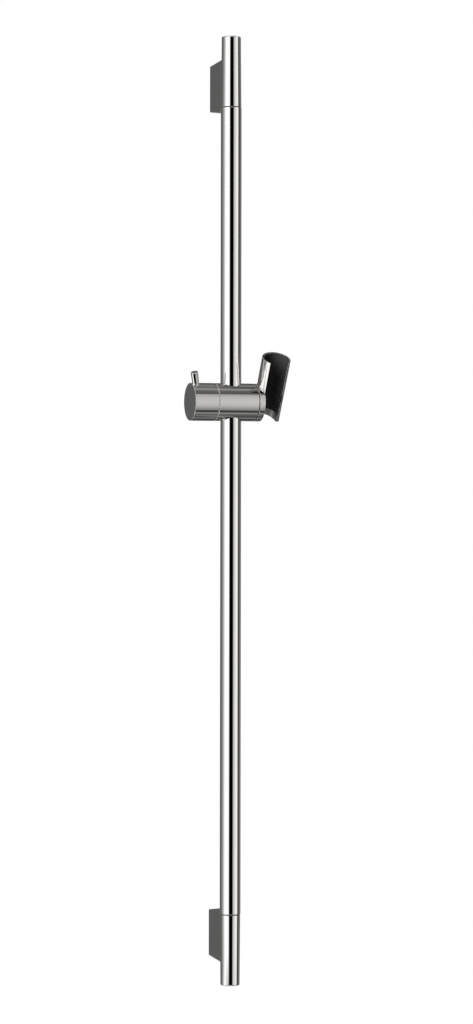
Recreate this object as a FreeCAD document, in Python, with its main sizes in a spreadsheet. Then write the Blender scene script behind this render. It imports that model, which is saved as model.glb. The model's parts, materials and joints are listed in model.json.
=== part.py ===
import FreeCAD, Part
import math
import operator
import os
from types import SimpleNamespace

import Sketcher

# Shower slide rail: a chrome tube between two wall brackets, with a clamped slider and a tilting
# hand-shower holder. Origin on the wall, midway between the two wall screws. X right, Y into the wall, Z up.

# Driving dimensions in millimetres and degrees: alias, value and what it is.
SIZES = [
    ("tube_diameter", 22.0, "rail tube, outside"),
    ("tube_wall", 1.0, "rail tube, wall"),
    ("wall_standoff", 40.0, "wall to tube axis"),
    ("drill_spacing", 900.0, "between the two wall screws"),
    ("joint_setback", 22.75, "wall screw back to the barrel end that meets the tube"),
    ("running_fit", 0.1, "radial clearance of pieces that slide or turn on each other"),
    ("seat_fit", 0.05, "radial clearance of pieces that are seated in each other"),
    ("barrel_length", 75.4, "bracket barrel, joint to crown"),
    ("barrel_step", 0.3, "bracket barrel at the joint, below the tube"),
    ("barrel_end_diameter", 20.3, "bracket barrel at the crown"),
    ("barrel_crown_radius", 45.0, "bracket barrel, radius of the crowned end"),
    ("barrel_round", 1.0, "edge radius of the crowned end"),
    ("spigot_length", 18.0, "bracket spigot inside the tube"),
    ("foot_width", 20.4, "bracket foot across its flat sides"),
    ("foot_height", 49.4, "bracket foot on the wall"),
    ("foot_inner_flare", 7.5, "slope of the foot's inner end face"),
    ("foot_outer_flare", 4.5, "slope of the foot's outer end face"),
    ("foot_round", 1.2, "edge radius of the foot's end faces"),
    ("saddle_front", 4.5, "tube axis back to the front edge of the saddle"),
    ("foot_side_wall", 2.4, "foot, side walls"),
    ("foot_end_wall", 3.2, "foot, end walls at the wall"),
    ("foot_cavity_depth", 25.0, "foot cavity, from the wall"),
    ("block_depth", 21.0, "wall block, from the wall"),
    ("block_play", 0.2, "wall block to foot cavity"),
    ("wall_hole_diameter", 5.5, "wall block, screw hole"),
    ("wall_head_diameter", 10.5, "wall block, screw head recess"),
    ("wall_head_depth", 12.0, "wall block, depth of the screw head recess"),
    ("bracket_grub_diameter", 5.0, "bracket grub screw"),
    ("bracket_grub_length", 7.0, "bracket grub screw"),
    ("bracket_grub_setback", 11.0, "bracket grub screw, from the wall"),
    ("bracket_grub_bite", 2.5, "bracket grub screw, depth in the wall block"),
    ("bracket_grub_socket", 2.5, "bracket grub screw, key size"),
    ("joint_ring_thickness", 0.9, "black ring in the joint"),
    ("joint_ring_recess", 0.5, "black ring, below the barrel"),
    ("tube_seal_width", 2.4, "rubber ring on the spigot"),
    ("tube_seal_depth", 1.4, "groove of the rubber ring"),
    ("tube_seal_setback", 8.0, "joint to the rubber ring"),
    ("slider_height", 115.0, "slider axis above the middle of the rail"),
    ("slider_diameter", 40.0, "slider, knob and hub"),
    ("slider_edge", 0.4, "edge bevel of slider, knob and hub"),
    ("shell_left_reach", 7.8, "tube to the housing's knob end"),
    ("shell_wall", 3.5, "housing, round wall"),
    ("shell_end_wall", 3.8, "housing, knob end wall"),
    ("mouth_gap", 0.45, "housing mouth to tube, radial"),
    ("neck_diameter", 24.0, "housing neck inside the knob"),
    ("neck_length", 15.2, "housing neck"),
    ("neck_end_wall", 3.0, "housing neck, end wall"),
    ("knob_seal_width", 2.0, "rubber ring on the neck"),
    ("knob_seal_depth", 1.0, "groove of the rubber ring"),
    ("knob_seal_setback", 6.0, "housing end to the rubber ring"),
    ("core_end_wall", 1.2, "guide core, wall beside the clamp sleeve"),
    ("sleeve_wall", 1.2, "clamp sleeve, wall"),
    ("sleeve_end_gap", 0.7, "clamp sleeve, its ends to the housing"),
    ("sleeve_slit", 2.0, "clamp sleeve, slit"),
    ("knob_seam", 0.5, "seam between knob and housing"),
    ("knob_end_wall", 2.6, "knob, end wall left of the spindle"),
    ("knob_rim_wall", 3.0, "knob, outer wall"),
    ("knob_hub_wall", 2.2, "knob, inner wall round the neck"),
    ("knob_core_depth", 12.0, "knob, ring hollow between its walls"),
    ("washer_thickness", 1.0, "thrust washer between knob and neck"),
    ("washer_inset", 1.0, "thrust washer, below the neck"),
    ("spindle_diameter", 8.0, "clamp spindle"),
    ("spindle_head_diameter", 10.0, "clamp spindle, end in the knob"),
    ("clip_thickness", 0.8, "spindle clip"),
    ("clip_depth", 0.8, "spindle clip, groove"),
    ("clip_rim", 2.0, "spindle clip, above the spindle"),
    ("clip_gap", 4.0, "spindle clip, opening"),
    ("plunger_diameter", 16.0, "clamp plunger"),
    ("plunger_travel_room", 0.8, "clip to plunger at rest"),
    ("pad_inset", 0.2, "brake pad, below the plunger"),
    ("pad_thickness", 0.9, "brake pad, at its middle"),
    ("pad_horn", 2.2, "brake pad, reach of its edges round the sleeve"),
    ("pad_gap", 0.15, "brake pad to clamp sleeve at rest"),
    ("plunger_floor", 2.6, "clamp plunger, floor of the threaded hole"),
    ("spindle_nose_room", 0.6, "spindle to floor of the plunger at rest"),
    ("lever_lean", 21.0, "lever pin, forward of upright"),
    ("lever_splay", 13.5, "lever pin, outward from the knob"),
    ("lever_base_setback", 4.1, "knob end to lever pin at the knob's surface"),
    ("lever_base_diameter", 7.1, "lever pin where it leaves the knob"),
    ("lever_tip_diameter", 8.0, "lever pin at its tip"),
    ("lever_length", 13.5, "lever pin, knob surface to tip"),
    ("lever_edge", 0.5, "lever pin, edge bevel"),
    ("lever_sunk", 2.6, "lever pin, depth of its seat in the knob"),
    ("lever_stud_diameter", 4.0, "lever pin, threaded end"),
    ("lever_stud_room", 1.0, "lever pin, threaded end to spindle"),
    ("lever_neck_room", 0.95, "lever pin, threaded end to the knob's hollow"),
    ("hub_seam", 0.8, "seam between housing and holder hub"),
    ("ring_recess", 0.7, "seam rings, below the surface"),
    ("ring_clearance", 0.05, "seam rings to the piece that turns on them"),
    ("friction_ring_bore", 16.0, "friction ring, bore"),
    ("plate_thickness", 4.35, "pivot plate"),
    ("plate_grub_diameter", 3.0, "pivot plate grub screw"),
    ("plate_grub_length", 5.0, "pivot plate grub screw"),
    ("plate_grub_sunk", 0.5, "pivot plate grub screw, below the surface"),
    ("plate_grub_socket", 1.5, "pivot plate grub screw, key size"),
    ("bolt_diameter", 6.0, "pivot bolt"),
    ("bolt_head_diameter", 10.0, "pivot bolt, head"),
    ("bolt_cover", 0.3, "liner to pivot bolt head"),
    ("bolt_thread_end", 0.6, "pivot bolt, past the lock nut"),
    ("bolt_room", 0.6, "pivot bolt to guide core"),
    ("spring_thickness", 0.7, "disc spring"),
    ("spring_cone", 0.6, "disc spring, rise"),
    ("spring_diameter", 12.5, "disc spring"),
    ("nut_thickness", 3.4, "lock nut"),
    ("nut_width", 10.0, "lock nut, across flats"),
    ("sleeve_setback", 0.5, "hub face at the housing to the sleeve"),
    ("cup_tilt", 29.5, "sleeve, forward of upright"),
    ("cup_rim_height", 52.6, "pivot axis to sleeve rim"),
    ("cup_rim_diameter", 30.5, "sleeve at the rim, outside"),
    ("cup_draft", 0.3, "sleeve, half angle of the outside"),
    ("cup_tail_radius", 21.3, "round lower end of the sleeve"),
    ("cup_tail_setback", 2.5, "round lower end of the sleeve, its centre behind the pivot axis"),
    ("cup_slot", 19.2, "slot for the hose"),
    ("cup_wall", 1.6, "sleeve wall at the rim"),
    ("rim_bevel", 0.4, "sleeve rim, edge bevel"),
    ("liner_wall", 1.4, "holder liner"),
    ("liner_drop", 12.4, "pivot axis down to the step under the liner"),
    ("liner_sunk", 0.5, "holder liner, below the rim"),
    ("socket_draft", 1.0, "half angle of the conical socket"),
]

OPERATIONS = {"+": operator.add, "-": operator.sub, "*": operator.mul, "/": operator.truediv}
FULL_TURN, HALF_TURN, QUARTER_TURN = 360, 180, 90
HEX_SIDES = 6
NEAR = 1e-3


class Size:
    """A number together with the sheet expression that it comes from."""

    def __init__(self, text, value):
        self.text = text
        self.value = value

    def __add__(self, other):
        return joined(self, "+", other)

    def __radd__(self, other):
        return joined(other, "+", self)

    def __sub__(self, other):
        return joined(self, "-", other)

    def __rsub__(self, other):
        return joined(other, "-", self)

    def __mul__(self, other):
        return joined(self, "*", other)

    def __rmul__(self, other):
        return joined(other, "*", self)

    def __truediv__(self, other):
        return joined(self, "/", other)

    def __neg__(self):
        return Size(f"-({self.text})", -self.value)


def as_size(number):
    return number if isinstance(number, Size) else Size(repr(float(number)), float(number))


def joined(left, sign, right):
    a, b = as_size(left), as_size(right)
    return Size(f"({a.text} {sign} {b.text})", OPERATIONS[sign](a.value, b.value))


def tangent(angle):
    return Size(f"tan({angle.text})", math.tan(math.radians(angle.value)))


def cosine(angle):
    return Size(f"cos({angle.text})", math.cos(math.radians(angle.value)))


def root(size):
    return Size(f"sqrt({size.text})", math.sqrt(size.value))


def sine(angle):
    return Size(f"sin({angle.text})", math.sin(math.radians(angle.value)))


def size_sheet(document):
    sheet = document.addObject("Spreadsheet::Sheet", "Sizes")
    for row, (alias, value, meaning) in enumerate(SIZES, start=1):
        sheet.set(f"A{row}", meaning)
        sheet.set(f"B{row}", str(value))
        sheet.setAlias(f"B{row}", alias)
    document.recompute()
    sizes = {alias: Size(f"Sizes.{alias}", float(getattr(sheet, alias))) for alias, _, _ in SIZES}
    return SimpleNamespace(**sizes)


doc = FreeCAD.newDocument("ShowerSlideRail")
s = size_sheet(doc)


# Sketches and features

def new_body(label):
    body = doc.addObject("PartDesign::Body", label)
    body.Label = label
    return body


def new_sketch(body, role, offset=0):
    """An empty sketch on one of the body's own planes, moved along the plane's normal."""
    sketch = body.newObject("Sketcher::SketchObject", "Sketch")
    plane = next(feature for feature in body.Origin.OriginFeatures if feature.Role == role)
    sketch.AttachmentSupport = [(plane, "")]
    sketch.MapMode = "FlatFace"
    sketch.setExpression("AttachmentOffset.Base.z", as_size(offset).text)
    return sketch


def tie(sketch, name, constraint, size):
    sketch.renameConstraint(sketch.addConstraint(constraint), name)
    sketch.setExpression(f"Constraints.{name}", size.text)


def tie_point(sketch, geometry, position, x, y):
    """Hold a point of the sketch at a place that follows the sheet."""
    for kind, place, axis in (("DistanceX", x, -2), ("DistanceY", y, -1)):
        if not isinstance(place, Size):
            sketch.addConstraint(Sketcher.Constraint("PointOnObject", geometry, position, axis))
            continue
        constraint = Sketcher.Constraint(kind, -1, 1, geometry, position, place.value)
        tie(sketch, f"{kind}_{geometry}", constraint, place)


def bulged(start, end, radius):
    """A counterclockwise arc of the given radius from start to end."""
    chord = end - start
    left = FreeCAD.Vector(-chord.y, chord.x, 0).normalize()
    centre = start + chord * 0.5 + left * math.sqrt(max(radius ** 2 - (chord.Length / 2) ** 2, 0))
    first, last = [math.atan2(p.y - centre.y, p.x - centre.x) for p in (start, end)]
    return Part.ArcOfCircle(Part.Circle(centre, FreeCAD.Vector(0, 0, 1), radius), first, last)


def outline(body, role, corners, arcs=None, offset=0):
    """A closed sketch through the corners; arcs gives the radius of a round edge. A plain 0 is the axis."""
    arcs = arcs or {}
    sketch = new_sketch(body, role, offset)
    points = [FreeCAD.Vector(as_size(x).value, as_size(y).value, 0) for x, y in corners]
    count = len(points)
    for i, start in enumerate(points):
        end = points[(i + 1) % count]
        edge = bulged(start, end, arcs[i].value) if i in arcs else Part.LineSegment(start, end)
        sketch.addGeometry(edge, False)
    for i in range(count):
        sketch.addConstraint(Sketcher.Constraint("Coincident", i, 2, (i + 1) % count, 1))
    for i, (x, y) in enumerate(corners):
        tie_point(sketch, i, 1, x, y)
    for i, radius in arcs.items():
        tie(sketch, f"Radius_{i}", Sketcher.Constraint("Radius", i, radius.value), radius)
    return sketch


def rounds(body, role, circles, offset=0):
    """A sketch of circles, each a centre and a radius."""
    sketch = new_sketch(body, role, offset)
    for i, (x, y, radius) in enumerate(circles):
        centre = FreeCAD.Vector(as_size(x).value, as_size(y).value, 0)
        sketch.addGeometry(Part.Circle(centre, FreeCAD.Vector(0, 0, 1), radius.value), False)
        tie_point(sketch, i, 3, x, y)
        tie(sketch, f"Radius_{i}", Sketcher.Constraint("Radius", i, radius.value), radius)
    return sketch


def pad(body, sketch, length, symmetric=False):
    feature = body.newObject("PartDesign::Pad", "Pad")
    feature.Profile = sketch
    feature.SideType = "Symmetric" if symmetric else "One side"
    feature.setExpression("Length", length.text)
    doc.recompute()
    return feature


def revolve(body, sketch, axis):
    feature = body.newObject("PartDesign::Revolution", "Revolution")
    feature.Profile = sketch
    feature.ReferenceAxis = (sketch, [axis])
    feature.Angle = FULL_TURN
    doc.recompute()
    return feature


def cut_checked(body, feature, before):
    """Stop when a cut has missed the solid."""
    doc.recompute()
    if not feature.Shape.Volume < before:
        raise RuntimeError(f"{body.Label}: {feature.Label} cuts nothing")
    return feature


def pocket(body, sketch, length=None, symmetric=False, reverse=False):
    """Cut a sketch against its normal, or along it with reverse; with no length it goes through all."""
    before = body.Shape.Volume
    feature = body.newObject("PartDesign::Pocket", "Pocket")
    feature.Profile = sketch
    feature.SideType = "Symmetric" if symmetric else "One side"
    feature.Reversed = reverse
    if length is None:
        feature.Type = "ThroughAll"
    else:
        feature.setExpression("Length", length.text)
    return cut_checked(body, feature, before)


def groove(body, sketch, axis, angle=FULL_TURN, reverse=False):
    before = body.Shape.Volume
    feature = body.newObject("PartDesign::Groove", "Groove")
    feature.Profile = sketch
    feature.ReferenceAxis = (sketch, [axis])
    feature.Angle = angle
    feature.Reversed = reverse
    return cut_checked(body, feature, before)


def fillet(body, radius, wanted):
    """Round the edges of the body's last feature that the test picks."""
    last = body.Tip
    names = [f"Edge{i}" for i, edge in enumerate(last.Shape.Edges, start=1) if wanted(edge)]
    feature = body.newObject("PartDesign::Fillet", "Fillet")
    feature.Base = (last, names)
    feature.setExpression("Radius", radius.text)
    doc.recompute()
    return feature


def turned(label, corners, axis, arcs=None):
    """A turned piece: corners are (x, r) about the X axis or (r, z) about the Z axis."""
    body = new_body(label)
    revolve(body, outline(body, "XZ_Plane", corners, arcs), "H_Axis" if axis == "X" else "V_Axis")
    return body


def washer(label, role, outer, inner, offset, length, symmetric=False):
    """A flat ring across the plane's normal."""
    body = new_body(label)
    pad(body, rounds(body, role, [(0, 0, outer), (0, 0, inner)], offset), length, symmetric)
    return body


def primitive(kind, base=(0, 0, 0), turns=(), **sizes):
    piece = doc.addObject(kind, kind.split("::")[1])
    for name, size in sizes.items():
        piece.setExpression(name, as_size(size).text)
    return seat(piece, base, turns)


def boolean(kind, base, tool, label):
    piece = doc.addObject(kind, label)
    piece.Label = label
    piece.Base, piece.Tool = base, tool
    return piece


AXES = {"X": "vector(1; 0; 0)", "Y": "vector(0; 1; 0)", "Z": "vector(0; 0; 1)"}


def seat(piece, base, turns=()):
    """Stand a piece at a point, turned about X, Y or Z in the order given, outermost first."""
    point = "; ".join(as_size(part).text for part in base)
    spins = [f"rotation({AXES[axis]}; {as_size(angle).text})" for axis, angle in turns]
    spin = " * ".join(spins) or f"rotation({AXES['Z']}; 0)"
    piece.setExpression("Placement", f"placement(vector({point}); {spin})")
    return piece


def hexagon(across_flats, height, base=(0, 0, 0), turns=()):
    """A hexagonal bar along Z."""
    across_corners = across_flats / cosine(as_size(HALF_TURN / HEX_SIDES))
    bar = primitive("Part::Prism", base, turns, Circumradius=across_corners / 2, Height=height)
    bar.Polygon = HEX_SIDES
    return bar


def socket_screw(label, diameter, length, key):
    """A headless screw along Z with a hexagon socket in its lower end."""
    shank = primitive("Part::Cylinder", Radius=diameter / 2, Height=length)
    socket = hexagon(key, length / 2)
    return boolean("Part::Cut", shank, socket, label)


# Sizes that more than one piece takes

tube_radius = s.tube_diameter / 2
tube_bore = tube_radius - s.tube_wall
spigot_radius = tube_bore - s.seat_fit
joint_radius = tube_radius - s.barrel_step
foot_half = s.foot_width / 2
# Bracket frame: origin on the barrel axis in the joint plane, Z out to the crown, Y to the wall.
joint_height = s.drill_spacing / 2 - s.joint_setback
screw_height = s.joint_setback
foot_low = screw_height - s.foot_height / 2
foot_high = screw_height + s.foot_height / 2
cavity_low = foot_low + s.foot_end_wall
cavity_high = foot_high - s.foot_end_wall
cavity_half = foot_half - s.foot_side_wall
block_low = cavity_low + s.block_play
bracket_grub_y = s.wall_standoff - s.bracket_grub_setback
bracket_grub_hole = s.bracket_grub_diameter / 2 + s.seat_fit
bracket_grub_start = block_low + s.bracket_grub_bite - s.bracket_grub_length

# Slider frame: origin where the slider axis crosses the tube axis.
slider_radius = s.slider_diameter / 2
shell_left = tube_radius + s.shell_left_reach
seam_ring_radius = slider_radius - s.ring_recess
shell_bore = slider_radius - s.shell_wall
shell_inner_end = s.shell_end_wall - shell_left
neck_radius = s.neck_diameter / 2
neck_end = -shell_left - s.neck_length
knob_right = -shell_left - s.knob_seam
knob_floor = neck_end - s.washer_thickness - 2 * s.running_fit
spindle_radius = s.spindle_diameter / 2
spindle_head_radius = s.spindle_head_diameter / 2
lever_base = slider_radius / cosine(s.lever_splay)
lever_seat = lever_base - s.lever_sunk
lever_seat_radius = s.lever_base_diameter / 2 + s.seat_fit
lever_stud_radius = s.lever_stud_diameter / 2
lever_stud_end = spindle_head_radius + s.lever_stud_room
lever_stud_x = knob_floor - s.lever_neck_room - lever_stud_radius / cosine(s.lever_splay)
lever_x = lever_stud_x + lever_stud_end * tangent(s.lever_splay)
knob_left = lever_x - slider_radius * tangent(s.lever_splay) - s.lever_base_setback
spindle_left = knob_left + s.knob_end_wall
clip_left = neck_end + s.neck_end_wall + s.running_fit
plunger_radius = s.plunger_diameter / 2
plunger_bore = plunger_radius + s.running_fit
plunger_left = clip_left + s.clip_thickness + s.running_fit + s.plunger_travel_room
sleeve_bore = tube_radius + s.running_fit
sleeve_radius = sleeve_bore + s.sleeve_wall
sleeve_half = root(shell_bore * shell_bore - sleeve_radius * sleeve_radius) - s.sleeve_end_gap
pad_face = sleeve_radius + s.pad_gap
plunger_right = -pad_face - s.pad_thickness
plunger_hole_end = plunger_right - s.plunger_floor
core_bore = sleeve_radius + s.running_fit
core_right = core_bore + s.core_end_wall
bolt_end = core_right + s.bolt_room
nut_right = bolt_end + s.bolt_thread_end + s.nut_thickness
spring_room = 2 * (s.spring_thickness + s.spring_cone)
plate_left = nut_right + s.seat_fit + spring_room + s.running_fit
shell_right = plate_left + s.plate_thickness
plate_grub_x = shell_right - s.plate_thickness / 2
plate_grub_tip = slider_radius - s.plate_grub_sunk - s.plate_grub_length
hub_left = shell_right + s.hub_seam
bolt_radius = s.bolt_diameter / 2
bolt_hole = bolt_radius + s.running_fit

# Holder frame: origin where the pivot axis crosses the sleeve axis, Z up along the sleeve, slot to -Y.
rim_radius = s.cup_rim_diameter / 2
cup_reach = hub_left + s.sleeve_setback + rim_radius
hub_near = hub_left - cup_reach
hub_far = -s.cup_slot / 2
liner_step = -s.liner_drop


def sleeve_outside(height):
    return rim_radius - (s.cup_rim_height - height) * tangent(s.cup_draft)


def sleeve_inside(height):
    return rim_radius - s.cup_wall - (s.cup_rim_height - height) * tangent(s.socket_draft)


bolt_face = -sleeve_inside(as_size(0)) - s.bolt_cover

SLIDER = (0, -s.wall_standoff, s.slider_height)


# Rail

def rail_tube():
    body = new_body("rail_tube")
    section = rounds(body, "XY_Plane", [(0, 0, tube_radius), (0, 0, tube_bore)])
    pad(body, section, 2 * (joint_height - s.joint_ring_thickness), symmetric=True)
    return seat(body, (0, -s.wall_standoff, 0))


def bracket_barrel(body):
    """Barrel with its crowned end, and the spigot with the groove of its rubber ring."""
    end_radius = s.barrel_end_diameter / 2
    crown_radius = s.barrel_crown_radius
    round_radius = crown_radius - s.barrel_round
    round_x = end_radius - s.barrel_round
    round_rise = root(round_radius * round_radius - round_x * round_x)
    crown_low = s.barrel_length - crown_radius
    spread = crown_radius / round_radius
    groove_floor = spigot_radius - s.tube_seal_depth
    groove_top = -s.tube_seal_setback
    groove_foot = groove_top - s.tube_seal_width
    corners = [
        (0, -s.spigot_length),
        (spigot_radius, -s.spigot_length),
        (spigot_radius, groove_foot),
        (groove_floor, groove_foot),
        (groove_floor, groove_top),
        (spigot_radius, groove_top),
        (spigot_radius, 0),
        (joint_radius, 0),
        (end_radius, crown_low + round_rise),
        (round_x * spread, crown_low + round_rise * spread),
        (0, s.barrel_length),
    ]
    crown_edge = len(corners) - 2
    arcs = {crown_edge - 1: s.barrel_round, crown_edge: crown_radius}
    revolve(body, outline(body, "XZ_Plane", corners, arcs), "V_Axis")


def bracket_foot(body):
    """Flat-sided foot that flares from the wall to the barrel and reaches past the joint as a saddle."""
    inner_slope = tangent(s.foot_inner_flare)
    saddle_low = foot_low - (s.wall_standoff - s.saddle_front) * inner_slope
    barrel_high = foot_high + s.wall_standoff * tangent(s.foot_outer_flare)
    corners = [
        (s.saddle_front, saddle_low),
        (s.wall_standoff, foot_low),
        (s.wall_standoff, foot_high),
        (0, barrel_high),
        (0, 0),
        (s.saddle_front, 0),
    ]
    pad(body, outline(body, "YZ_Plane", corners), s.foot_width, symmetric=True)

    def end_edge(edge):
        ends = [vertex.Point for vertex in edge.Vertexes]
        on_side = all(abs(abs(end.x) - foot_half.value) < NEAR for end in ends)
        reaches_wall = any(abs(end.y - s.wall_standoff.value) < NEAR for end in ends)
        return len(ends) == 2 and on_side and reaches_wall and abs(ends[0].y - ends[1].y) > NEAR

    fillet(body, s.foot_round, end_edge)


def bracket_saddle(body):
    """Clearance for the tube where the foot reaches behind it."""
    saddle = [(0, 0, tube_radius + s.running_fit)]
    pocket(body, rounds(body, "XY_Plane", saddle), s.spigot_length)


def bracket_cavity(body):
    """Hollow of the foot, open to the wall, and the grub screw hole in its inner end wall."""
    corners = [
        (-cavity_half, cavity_low),
        (cavity_half, cavity_low),
        (cavity_half, cavity_high),
        (-cavity_half, cavity_high),
    ]
    mouth = outline(body, "XZ_Plane", corners, offset=-s.wall_standoff)
    pocket(body, mouth, s.foot_cavity_depth, reverse=True)
    hole = [(0, bracket_grub_y, bracket_grub_hole)]
    pocket(body, rounds(body, "XY_Plane", hole, cavity_low))


def wall_block(label):
    """Block that is screwed to the wall, with a sunk screw head and a seat for the grub screw."""
    body = new_body(label)
    half = cavity_half - s.block_play
    high = cavity_high - s.block_play
    corners = [(-half, block_low), (half, block_low), (half, high), (-half, high)]
    pad(body, outline(body, "XZ_Plane", corners, offset=-s.wall_standoff), s.block_depth)
    front = s.block_depth - s.wall_standoff
    hole = [(0, screw_height, s.wall_hole_diameter / 2)]
    pocket(body, rounds(body, "XZ_Plane", hole, front))
    recess = [(0, screw_height, s.wall_head_diameter / 2)]
    pocket(body, rounds(body, "XZ_Plane", recess, front), s.wall_head_depth)
    bite = [(0, bracket_grub_y, bracket_grub_hole)]
    pocket(body, rounds(body, "XY_Plane", bite, block_low), s.bracket_grub_bite + s.seat_fit, reverse=True)
    return body


def bracket_set(end, side, turn):
    """All pieces of one end of the rail; the lower end is the upper one turned over about Y."""
    origin = (0, -s.wall_standoff, side * joint_height)
    bracket = new_body(f"{end}_bracket")
    bracket_foot(bracket)
    bracket_saddle(bracket)
    bracket_barrel(bracket)
    bracket_cavity(bracket)
    ring = washer(f"{end}_joint_ring", "XY_Plane", joint_radius - s.joint_ring_recess,
                  spigot_radius + s.seat_fit, -s.joint_ring_thickness, s.joint_ring_thickness)
    seal_low = -s.tube_seal_setback - s.tube_seal_width + s.seat_fit
    seal = washer(f"{end}_tube_seal", "XY_Plane", tube_bore - s.seat_fit / 2,
                  spigot_radius - s.tube_seal_depth + s.seat_fit / 2, seal_low,
                  s.tube_seal_width - 2 * s.seat_fit)
    block = wall_block(f"{end}_wall_block")
    for piece in (bracket, ring, seal, block):
        seat(piece, origin, [("Y", turn)])
    screw = socket_screw(f"{end}_grub_screw", s.bracket_grub_diameter, s.bracket_grub_length,
                         s.bracket_grub_socket)
    screw_place = (0, -s.bracket_grub_setback, side * (joint_height + bracket_grub_start))
    seat(screw, screw_place, [("Y", turn)])
    return [bracket, ring, seal, block, screw]


# Slider

def slider_shell():
    edge = s.slider_edge
    groove_right = -shell_left - s.knob_seal_setback
    groove_left = groove_right - s.knob_seal_width
    groove_floor = neck_radius - s.knob_seal_depth
    spindle_hole = spindle_radius + s.running_fit
    neck_floor = neck_end + s.neck_end_wall
    body = turned("slider_shell", [
        (neck_end, spindle_hole),
        (neck_end, neck_radius),
        (groove_left, neck_radius),
        (groove_left, groove_floor),
        (groove_right, groove_floor),
        (groove_right, neck_radius),
        (-shell_left, neck_radius),
        (-shell_left, slider_radius - edge),
        (edge - shell_left, slider_radius),
        (shell_right - edge, slider_radius),
        (shell_right, slider_radius - edge),
        (shell_right, shell_bore),
        (shell_inner_end, shell_bore),
        (shell_inner_end, plunger_bore),
        (neck_floor, plunger_bore),
        (neck_floor, spindle_hole),
    ], "X")
    mouths = [(0, 0, tube_radius + s.mouth_gap)]
    pocket(body, rounds(body, "XY_Plane", mouths), symmetric=True)
    grub_hole = [(plate_grub_x, 0, s.plate_grub_diameter / 2 + s.seat_fit)]
    pocket(body, rounds(body, "XZ_Plane", grub_hole))
    return seat(body, SLIDER)


def guide_core():
    left = shell_inner_end + s.seat_fit
    radius = shell_bore - s.seat_fit
    body = turned("guide_core", [(left, 0), (left, radius), (core_right, radius), (core_right, 0)], "X")
    pocket(body, rounds(body, "XY_Plane", [(0, 0, core_bore)]), symmetric=True)
    pocket(body, rounds(body, "YZ_Plane", [(0, 0, plunger_bore)]))
    return seat(body, SLIDER)


def clamp_sleeve():
    body = washer("clamp_sleeve", "XY_Plane", sleeve_radius, sleeve_bore, 0, 2 * sleeve_half, symmetric=True)
    half = s.sleeve_slit / 2
    past = sleeve_radius + s.sleeve_wall
    corners = [(s.sleeve_wall, -half), (past, -half), (past, half), (s.sleeve_wall, half)]
    pocket(body, outline(body, "XY_Plane", corners), symmetric=True)
    return seat(body, SLIDER)


def knob_seal():
    right = -shell_left - s.knob_seal_setback
    left = right - s.knob_seal_width + s.seat_fit
    ring = washer("knob_seal", "YZ_Plane", neck_radius + s.seat_fit,
                  neck_radius - s.knob_seal_depth + s.seat_fit / 2, left, s.knob_seal_width - 2 * s.seat_fit)
    return seat(ring, SLIDER)


def glide_ring():
    thickness = s.knob_seam - s.ring_clearance
    ring = washer("glide_ring", "YZ_Plane", seam_ring_radius, neck_radius + s.running_fit,
                  -shell_left - thickness, thickness)
    return seat(ring, SLIDER)


def friction_ring():
    ring = washer("friction_ring", "YZ_Plane", seam_ring_radius, s.friction_ring_bore / 2,
                  shell_right, s.hub_seam - s.ring_clearance)
    return seat(ring, SLIDER)


def pivot_plate():
    radius = shell_bore - s.seat_fit
    body = washer("pivot_plate", "YZ_Plane", radius, bolt_hole, plate_left, s.plate_thickness)
    bite = [(plate_grub_x, 0, s.plate_grub_diameter / 2 + s.seat_fit)]
    pocket(body, rounds(body, "XZ_Plane", bite, s.seat_fit - plate_grub_tip))
    return seat(body, SLIDER)


def plate_grub_screw():
    screw = socket_screw("plate_grub_screw", s.plate_grub_diameter, s.plate_grub_length, s.plate_grub_socket)
    place = (plate_grub_x, slider_radius - s.plate_grub_sunk - s.wall_standoff, s.slider_height)
    return seat(screw, place, [("X", QUARTER_TURN)])


# Clamp

def lever_frame_turns():
    return [("X", s.lever_lean), ("Y", -s.lever_splay)]


def clamp_knob():
    edge = s.slider_edge
    rim_inside = slider_radius - s.knob_rim_wall
    neck_hole = neck_radius + s.running_fit
    hub_outside = neck_hole + s.knob_hub_wall
    core_end = knob_right - s.knob_core_depth
    socket = spindle_head_radius + s.seat_fit
    body = turned("knob_blank", [
        (knob_left, 0),
        (knob_left, slider_radius - edge),
        (knob_left + edge, slider_radius),
        (knob_right - edge, slider_radius),
        (knob_right, slider_radius - edge),
        (knob_right, rim_inside),
        (core_end, rim_inside),
        (core_end, hub_outside),
        (knob_right, hub_outside),
        (knob_right, neck_hole),
        (knob_floor, neck_hole),
        (knob_floor, socket),
        (spindle_left, socket),
        (spindle_left, 0),
    ], "X")
    splay = [("Y", -s.lever_splay)]
    along = (lever_x - lever_seat * sine(s.lever_splay), 0, lever_seat * cosine(s.lever_splay))
    seat_cut = primitive("Part::Cylinder", along, splay, Radius=lever_seat_radius, Height=s.slider_diameter)
    stud_cut = primitive("Part::Cylinder", (lever_x, 0, 0), splay, Radius=lever_stud_radius + s.seat_fit,
                         Height=lever_base)
    cuts = boolean("Part::Fuse", seat_cut, stud_cut, "lever_seat")
    return seat(boolean("Part::Cut", body, cuts, "clamp_knob"), SLIDER, [("X", s.lever_lean)])


def lever_pin():
    tip = lever_base + s.lever_length
    base_radius = s.lever_base_diameter / 2
    tip_radius = s.lever_tip_diameter / 2
    body = turned("lever_pin", [
        (0, lever_stud_end),
        (lever_stud_radius, lever_stud_end),
        (lever_stud_radius, lever_seat),
        (base_radius, lever_seat),
        (base_radius, lever_base),
        (tip_radius, tip - s.lever_edge),
        (tip_radius - s.lever_edge, tip),
        (0, tip),
    ], "Z")
    return seat(body, (lever_x, SLIDER[1], SLIDER[2]), lever_frame_turns())


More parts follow.
